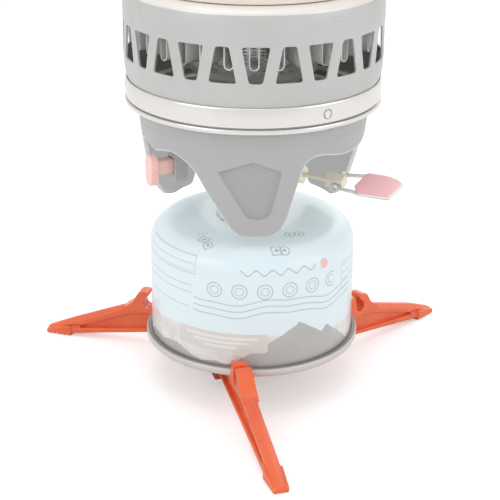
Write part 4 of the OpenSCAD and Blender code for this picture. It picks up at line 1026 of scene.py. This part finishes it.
def skirtRadius(height):
    s = skirtSizes
    return along(height, [
        (s["bandTop"] - 0.6, s["footRadius"]), (141.5, s["footRadius"] + 0.85),
        (s["flareTop"] - 3.5, s["radius"] - 0.25), (s["flareTop"] + 2, s["radius"]),
        (s["top"] - 0.25, s["radius"]), (s["top"], s["radius"] - 0.1)])


def windowOutline(centre, wideTop):  # corners in degrees of turn and mm of height
    s = skirtSizes
    high, low = (s["wide"], s["narrow"]) if wideTop else (s["narrow"], s["wide"])
    scale = math.radians(1) * s["radius"]
    corners = [(-low * scale, s["windowLow"]), (low * scale, s["windowLow"]),
               (high * scale, s["windowHigh"]), (-high * scale, s["windowHigh"])]
    return [(p.x / scale + centre, p.y) for p in softened(corners, 1.25, 5)]


def buildSkirt():
    s = skirtSizes
    half = 360 / s["count"]
    left, right = -half / 2, 1.5 * half
    heights = [s["foot"], s["bandTop"] - 0.6, 141.5, 144.5, 147, 150, 165, 171, s["top"] - 0.25, s["top"]]
    border = [(left, z) for z in heights] + [(right, z) for z in heights[::-1]]
    # one flat panel with two windows, cut fine enough to bend, then copied round the axis
    bm = bmesh.new()
    for loop in (windowOutline(0, True), windowOutline(half, False), border):
        verts = [bm.verts.new((x, z, 0)) for x, z in loop]
        for i in range(len(verts)):
            bm.edges.new((verts[i - 1], verts[i]))
    bmesh.ops.triangle_fill(bm, use_beauty=True, use_dissolve=False, edges=bm.edges)
    cuts = [((left + (right - left) * i / s["bends"], 0, 0), (1, 0, 0)) for i in range(1, s["bends"])]
    cuts += [((0, z, 0), (0, 1, 0)) for z in heights[1:-1]]
    for spot, way in cuts:
        geom = bm.verts[:] + bm.edges[:] + bm.faces[:]
        bmesh.ops.bisect_plane(bm, geom=geom, plane_co=spot, plane_no=way, dist=1e-5)
    for vert in bm.verts:
        vert.co = polar(skirtRadius(vert.co.y), vert.co.x + s["firstTurn"], vert.co.y)
    bmesh.ops.remove_doubles(bm, verts=bm.verts, dist=1e-6)
    panel = bpy.data.meshes.new("skirt")
    bm.to_mesh(panel)
    bm.free()
    skirt = bpy.data.objects.new("skirt", panel)
    bpy.context.collection.objects.link(skirt)
    roundAxis(skirt, s["count"] // 2, finishes["pot_metal"], weld=2e-5)
    bm = bmesh.new()
    bm.from_mesh(skirt.data)
    bmesh.ops.recalc_face_normals(bm, faces=bm.faces)
    bm.to_mesh(skirt.data)
    bm.free()
    skirt.data.shade_smooth()
    skirt.data.set_sharp_from_angle(angle=math.radians(40))
    wall = skirt.modifiers.new("sheet", "SOLIDIFY")
    wall.thickness = s["sheet"] * mm
    wall.offset = -1
    wall.use_even_offset = True
    bevelled(skirt, 0.16, 1, 60)
    return place(skirt, "pot", "pot_metal", "pot_skirt")


buildSkirt()
print("skirt made")


# ledge between skirt and pot, and small dot marks on the skirt

markSizes = {
    "turns": (35.3, -55.6), "radius": 54.38, "height": 171.8, "stepTurn": 1.85, "stepHeight": 1.6,
    "dot": 0.34}


def buildLedge():
    # paler than the pot metal: painted light against the shade under the sleeve
    finish = paintedPotFinish("ledgeMetalPaintedLight", srgb(236, 232, 227), srgb(226, 222, 217))
    profile = [(47.06, 178.4), (49.2, 178.4), (50.2, 178.1), (52.4, 176.9), (53.0, 176.2), (53.5, 175.6),
               (53.5, 172.9), (52.6, 172.9), (52.6, 174.8), (51.8, 175.9), (49.6, 177.1), (48.6, 177.3),
               (47.06, 177.3)]
    return place(lathe("skirtLedge", profile, finish, 240, 40), "pot", "pot_metal", "skirt_ledge")


def buildMarks():
    m = markSizes
    profile = [(m["dot"], -0.1), (m["dot"], 0.02), (m["dot"] * 0.6, 0.08), (0, 0.1)]
    plastic = finishes["housing_plastic"]
    dots = []
    for turn in m["turns"]:
        for i in (-1, 0, 1):
            for j in (-1, 0, 1):
                spot = onWall(m["radius"], turn + i * m["stepTurn"], m["height"] + j * m["stepHeight"])
                dots.append(lathe("dot", profile, plastic, 12, 60, closed=False, move=spot))
    return place(joined("skirtMarks", dots), "pot", "housing_plastic")


buildLedge()
buildMarks()
print("ledge made")


# fabric sleeve

cosySizes = {
    "low": 178.6, "high": 270.8, "radius": 49.35, "inner": 47.15, "slot": (90, 13.2, 191.5, 251.7),
    "columns": 300, "rows": 66, "stitches": 96, "hem": 5.0}


def buildCosy():
    c = cosySizes
    columns, rows = c["columns"], c["rows"]
    points, faces = [], []

    def swell(azimuth, height):
        up, down = height - c["low"], c["high"] - height
        share = up / (c["high"] - c["low"])
        roll = 0.25 * sum(math.exp(-((end - c["hem"]) / 0.7) ** 2) for end in (up, down))
        seam = 0.35 * math.exp(-(((azimuth - 270 + 180) % 360 - 180) / 0.9) ** 2)
        a = math.radians(azimuth)
        fold = noise.noise(Vector((math.sin(a) * 2.2, math.cos(a) * 2.2, height * 0.045)))
        edge = 0.45 * (smooth(0.9 - up, 0, 0.9) + smooth(0.9 - down, 0, 0.9))
        fade = smooth(share, 0, 0.12) * smooth(1 - share, 0, 0.12)
        return c["radius"] - roll - seam - edge + 0.14 * fold * fade

    heights = [c["low"] + (c["high"] - c["low"]) * j / rows for j in range(rows + 1)]
    turns = [360 * i / columns for i in range(columns)]
    turnMid, turnHalf, slotLow, slotHigh = c["slot"]

    def inSlot(i, j):
        mid, height = turns[i] + 180 / columns, (heights[j] + heights[j + 1]) / 2
        return abs(mid - turnMid) < turnHalf and slotLow < height < slotHigh

    for height in heights:
        points += [polar(swell(a, height), a, height) for a in turns]
    for j in range(rows):
        for i in range(columns):
            if not inSlot(i, j):
                k = (i + 1) % columns
                low, high = j * columns, (j + 1) * columns
                faces.append([low + i, low + k, high + k, high + i])
    sleeve = fromFaces("potSleeve", points, faces, finishes["cosy_fabric"], 60)
    wall = sleeve.modifiers.new("cloth", "SOLIDIFY")
    wall.thickness = (c["radius"] - c["inner"]) * mm
    wall.offset = -1
    wall.use_even_offset = True
    bevelled(sleeve, 0.5, 2, 60)
    place(sleeve, "pot", "cosy_fabric", "pot_cosy")
    # one stitch, then a ring of them along each hem
    for row, height in enumerate((c["low"] + c["hem"] * 0.62, c["high"] - c["hem"] * 0.62)):
        radius = c["radius"] + 0.05
        path = [polar(radius + lift, turn, height) for turn, lift in
                ((-1.2, -0.5), (-0.95, 0.05), (-0.4, 0.2), (0.4, 0.2), (0.95, 0.05), (1.2, -0.5))]
        stitch = tube("hemStitch%d" % row, path, 0.26, finishes["cosy_fabric"], 6)
        roundAxis(stitch, c["stitches"], finishes["cosy_fabric"], first=1.9 if row == 0 else 0)
        place(stitch, "pot", "cosy_fabric")
    return sleeve


buildCosy()
print("sleeve made")


# fins under the pot

finSizes = {
    "count": 32, "firstTurn": 0.3, "width": 4.0, "sheet": 0.4, "low": 153.4, "high": 171.7, "plate": 0.5,
    "inner": 35.0, "outer": 50.4}


def buildFins():
    s = finSizes
    r = s["width"] / 2
    outline = []
    for radius, order in ((r, 1), (r - s["sheet"], -1)):
        arc = [(radius * math.sin(math.radians(t)), s["low"] + r - radius * math.cos(math.radians(t)))
               for t in range(-90, 91, 12)]
        line = [(-radius, s["high"])] + arc + [(radius, s["high"])]
        outline += line[::order]
    a = math.radians(s["firstTurn"])
    e, n = Vector((math.sin(a), -math.cos(a), 0)), Vector((math.cos(a), math.sin(a), 0))
    ends = (s["inner"], s["outer"])
    sections = [[(e * out + n * x + Vector((0, 0, z))) * mm for x, z in outline] for out in ends]
    loop = loft("heatFins", sections, finishes["fin_metal"], 40)
    roundAxis(loop, s["count"], finishes["fin_metal"])
    low, high = s["high"] - s["plate"], s["high"] + 0.02
    ring = [(s["inner"], low), (s["outer"], low), (s["outer"], high), (s["inner"], high)]
    plate = lathe("finPlate", ring, finishes["fin_metal"], 120, 40)
    return place(joined("heatFins", [loop, plate]), "pot", "fin_metal", "heat_fins")


buildFins()
print("fins made")


# valve handle

handleSizes = {
    "azimuth": 61, "height": 98.0, "roll": 26, "lift": 3.5, "hinge": 41, "eyeSide": 4.1, "wire": 0.8,
    "tabHalf": 1.2, "tabEdge": 0.4, "tabMiddle": 60, "groove": 0.25,
    "tab": ((49.8, -2.6), (52.7, -6.0), (66.7, -6.0), (69.5, 1.9), (67.6, 4.3), (63.4, 5.7), (60.0, 6.1),
            (52.4, 6.1)),
    "loop": ((42.4, -4.1), (50.6, -4.9), (53.0, -5.75), (60, -5.8), (66.0, -5.75), (66.9, -5.0), (69.1, 1.7),
             (67.3, 4.0), (63.2, 5.35), (59, 5.75), (53.0, 5.75), (50.6, 4.9), (42.4, 4.1))}


def handleFrame():  # X outwards, Y across the handle, Z up from it; it starts at the stove's axis
    h = handleSizes
    a = math.radians(h["azimuth"])
    turn = Matrix(((math.sin(a), math.cos(a), 0), (-math.cos(a), math.sin(a), 0), (0, 0, 1))).to_4x4()
    roll = Matrix.Rotation(math.radians(h["roll"]), 4, "X")
    lift = Matrix.Rotation(math.radians(-h["lift"]), 4, "Y")
    rise, hinge = Matrix.Translation((0, 0, h["height"] * mm)), Matrix.Translation((h["hinge"] * mm, 0, 0))
    return rise @ turn @ roll @ hinge @ lift @ hinge.inverted()


def buildHandle():
    h = handleSizes
    turn = handleFrame()
    half, soft, groove = h["tabHalf"], h["tabEdge"], h["groove"]
    middle = Vector((h["tabMiddle"], 0))
    levels = ((-half, soft), (-half + soft * 0.3, soft * 0.3), (-half + soft, 0), (-0.7, 0), (-0.55, groove),
              (0.35, groove), (0.5, 0), (half - soft, 0), (half - soft * 0.3, soft * 0.3), (half, soft))
    sections = []
    for height, inset in levels:
        outline = [p - (p - middle).normalized() * inset for p in softened(h["tab"], 0.9, 4)]
        sections.append([turn @ (Vector((p.x, p.y, height)) * mm) for p in outline])
    tab = loft("handleTab", sections, finishes["tab_red"], 40)
    place(tab, "valve_handle", "tab_red", "handle_tab")
    path = [turn @ (Vector((p.x, p.y, -0.1)) * mm) for p in rounded(h["loop"], 6)]
    wires = [tube("loop", path, h["wire"], finishes["steel"], 14)]
    eye = []
    for t in range(0, 360, 24):
        a = math.radians(t)
        eye.append((1.4 + 0.42 * math.cos(a), 0.75 * math.sin(a)))
    for side in (-1, 1):  # an eye at each end of the wire
        spot = turn @ Matrix.Translation(Vector((h["hinge"], h["eyeSide"] * side, 0)) * mm) \
            @ Matrix.Rotation(math.radians(90), 4, "X")
        wires.append(lathe("eye", eye, finishes["steel"], 32, 50, move=spot))
    place(joined("handleWire", wires), "valve_handle", "steel", "handle_wire")


buildHandle()
print("handle made")


# igniter button

buttonSizes = {
    "azimuth": -61, "height": 103.3, "tall": 13.4, "wide": 6.4, "face": 50.0, "thick": 3.8, "edge": 1.1,
    "stub": (38.0, 5.0, 6.2, 1.2), "bore": (2.2, 4.0), "points": 48}


def buildButton():
    b = buttonSizes
    a = math.radians(b["azimuth"])
    out, side = Vector((math.sin(a), -math.cos(a), 0)), Vector((math.cos(a), math.sin(a), 0))
    around = [2 * math.pi * i / b["points"] for i in range(b["points"])]

    def ring(distance, points):
        return [(out * distance + side * x + Vector((0, 0, b["height"] + z))) * mm for x, z in points]

    def capsule(distance, inset):
        rise, size = (b["tall"] - b["wide"]) / 2, b["wide"] / 2 - inset
        points = []
        for t in around:
            c, s = math.cos(t), math.sin(t)
            points.append((size * c, (rise if s >= 0 else -rise) + size * s))
        return ring(distance, points)

    back, front, e = b["face"] - b["thick"], b["face"], b["edge"]
    sections = [capsule(back, 0.3), capsule(back + 0.3, 0)]
    for i in range(6):
        t = math.radians(90 * i / 5)
        sections.append(capsule(front - e + e * math.sin(t), e * (1 - math.cos(t))))
    sections.append(capsule(front + 0.02, e + 1.2))
    head = loft("head", sections, finishes["button_red"], 40)
    # the stub is a square sleeve whose bore takes the spring
    start, wide, tall, up = b["stub"]
    radius, depth = b["bore"]

    def square(share):
        points = []
        for t in around:
            c, s = math.cos(t), math.sin(t)
            reach = (abs(c) ** 8 + abs(s) ** 8) ** -0.125 * share / 2
            points.append((wide * c * reach, tall * s * reach + up))
        return points

    def circle(size):
        return [(size * math.cos(t), size * math.sin(t) + up) for t in around]

    rings = [ring(back + 0.2, square(1)), ring(start + 0.3, square(1)), ring(start, square(0.93)),
             ring(start, circle(radius)), ring(start + depth, circle(radius)),
             ring(start + depth, circle(radius * 0.05))]
    stub = loft("stub", rings, finishes["button_red"], 40)
    return place(joined("igniterButton", [head, stub]), "igniter_button", "button_red", "igniter_button")


buildButton()
print("button made")


# softened copies of plain parts

softParts = {  # node: width of the soft edge in mm
    "igniter_housing": 0.4, "handle_block": 0.45, "packing_nut": 0.3, "connector_collar": 0.2,
    "valve_body": 0.35, "handle_bracket": 0.3, "lid_knob": 0.35, "mixing_tube": 0.2, "spark_insulator": 0.2,
    "base_screws": 0.2}


def softenedNode(node, width):
    source = frame["nodes"][node]
    part = next(p for p in record["subparts"] if p["node"] == node)
    bm = bmesh.new()
    bm.from_mesh(source.data)
    bm.transform(source.matrix_world)
    bmesh.ops.remove_doubles(bm, verts=bm.verts, dist=2e-6)
    bmesh.ops.dissolve_limit(bm, angle_limit=math.radians(0.6), verts=bm.verts, edges=bm.edges)
    copy = toObject("soft" + node.title().replace("_", ""), bm, finishes[part["material_slot"]], 30)
    bevelled(copy, width, 2, 40)
    body = next(name for name, nodes in record["behaviour"]["bodies"].items() if node in nodes)
    return place(copy, body, part["material_slot"], node)


for node, width in softParts.items():
    softenedNode(node, width)
print("plain parts softened")


# camera, lights, floor

viewSizes = {"place": (0.0, -0.5565, 0.2919), "pitch": 22.813, "roll": 0.406, "yaw": -0.097, "lens": 97.56}


def aimCamera():
    v = viewSizes
    pitch, roll, yaw = (math.radians(v[k]) for k in ("pitch", "roll", "yaw"))
    forward = Vector((math.sin(yaw) * math.cos(pitch), math.cos(yaw) * math.cos(pitch), -math.sin(pitch)))
    right = Vector((math.cos(yaw), -math.sin(yaw), 0))
    up = right.cross(forward)
    side, top = right * math.cos(roll) + up * math.sin(roll), up * math.cos(roll) - right * math.sin(roll)
    data = bpy.data.cameras.new("camera")
    data.lens = v["lens"]
    data.sensor_width = 36
    data.clip_start = 0.01
    data.clip_end = 50
    camera = bpy.data.objects.new("camera", data)
    bpy.context.collection.objects.link(camera)
    turn = Matrix((side, top, -forward)).transposed().to_4x4()
    camera.matrix_world = Matrix.Translation(Vector(v["place"])) @ turn
    bpy.context.scene.camera = camera


lightSizes = {  # place in metres, width in metres, watts
    "left": ((-1.1, -0.9, 0.9), 0.9, 4.4), "right": ((1.2, -0.5, 0.7), 0.8, 3.0),
    "top": ((-0.1, 0.1, 1.5), 1.0, 4.4), "back": ((0.3, 1.3, 0.6), 0.9, 2.4)}
backdrop = {"light": 0.88, "seen": 1.0, "floorGlow": 0.34, "fade": (0.3, 0.9)}


def setLights():
    for name, (spot, width, watts) in lightSizes.items():
        data = bpy.data.lights.new(name + "Light", "AREA")
        data.size = width
        data.energy = watts
        lamp = bpy.data.objects.new(name + "Light", data)
        lamp.location = spot
        lamp.rotation_euler = (Vector((0, 0, 0.1)) - Vector(spot)).to_track_quat("-Z", "Y").to_euler()
        bpy.context.collection.objects.link(lamp)
    world = bpy.data.worlds.new("studio")
    bpy.context.scene.world = world
    world.use_nodes = True
    tree = world.node_tree
    out = tree.nodes["World Output"]
    soft, white = tree.nodes["Background"], tree.nodes.new("ShaderNodeBackground")
    seen = tree.nodes.new("ShaderNodeMixShader")
    for node, strength in ((soft, backdrop["light"]), (white, backdrop["seen"])):
        node.inputs["Color"].default_value = (1, 1, 1, 1)
        node.inputs["Strength"].default_value = strength
    path = tree.nodes.new("ShaderNodeLightPath")
    tree.links.new(path.outputs["Is Camera Ray"], seen.inputs[0])
    tree.links.new(soft.outputs[0], seen.inputs[1])
    tree.links.new(white.outputs[0], seen.inputs[2])
    tree.links.new(seen.outputs[0], out.inputs[0])


def layFloor():
    f = Finish("floorWhite", (0.82, 0.82, 0.82, 1), 0.9, Specular_IOR_Level=0.1)
    path = f.add("ShaderNodeLightPath")
    glow = f.add("ShaderNodeEmission", {"Color": (1, 1, 1, 1), "Strength": backdrop["floorGlow"]})
    both, seen = f.add("ShaderNodeAddShader"), f.add("ShaderNodeMixShader")
    f.tree.links.new(f.shader.outputs[0], both.inputs[0])
    f.tree.links.new(glow.outputs[0], both.inputs[1])
    f.tree.links.new(path.outputs["Is Camera Ray"], seen.inputs[0])
    f.tree.links.new(f.shader.outputs[0], seen.inputs[1])
    f.tree.links.new(both.outputs[0], seen.inputs[2])
    x, y = f.axes()[:2]
    away = (x * x + y * y) ** 0.5
    far = f.add("ShaderNodeEmission", {"Color": (1, 1, 1, 1), "Strength": backdrop["seen"]})
    horizon = f.add("ShaderNodeMixShader")  # far from the object the camera sees plain white
    toCamera = Signal(f.tree, path.outputs["Is Camera Ray"])
    plug(f.tree, horizon.inputs[0], away.ramp(*backdrop["fade"]) * toCamera)
    f.tree.links.new(seen.outputs[0], horizon.inputs[1])
    f.tree.links.new(far.outputs[0], horizon.inputs[2])
    f.tree.links.new(horizon.outputs[0], f.tree.nodes["Material Output"].inputs[0])
    floor = fromFaces("floor", [Vector((x, y, -0.0002)) for x, y in ((-8, -8), (8, -8), (8, 8), (-8, 8))],
                      [[0, 1, 2, 3]], f.material)


aimCamera()
setLights()
layFloor()
bpy.context.scene.view_settings.view_transform = "Standard"
print("scene lit")
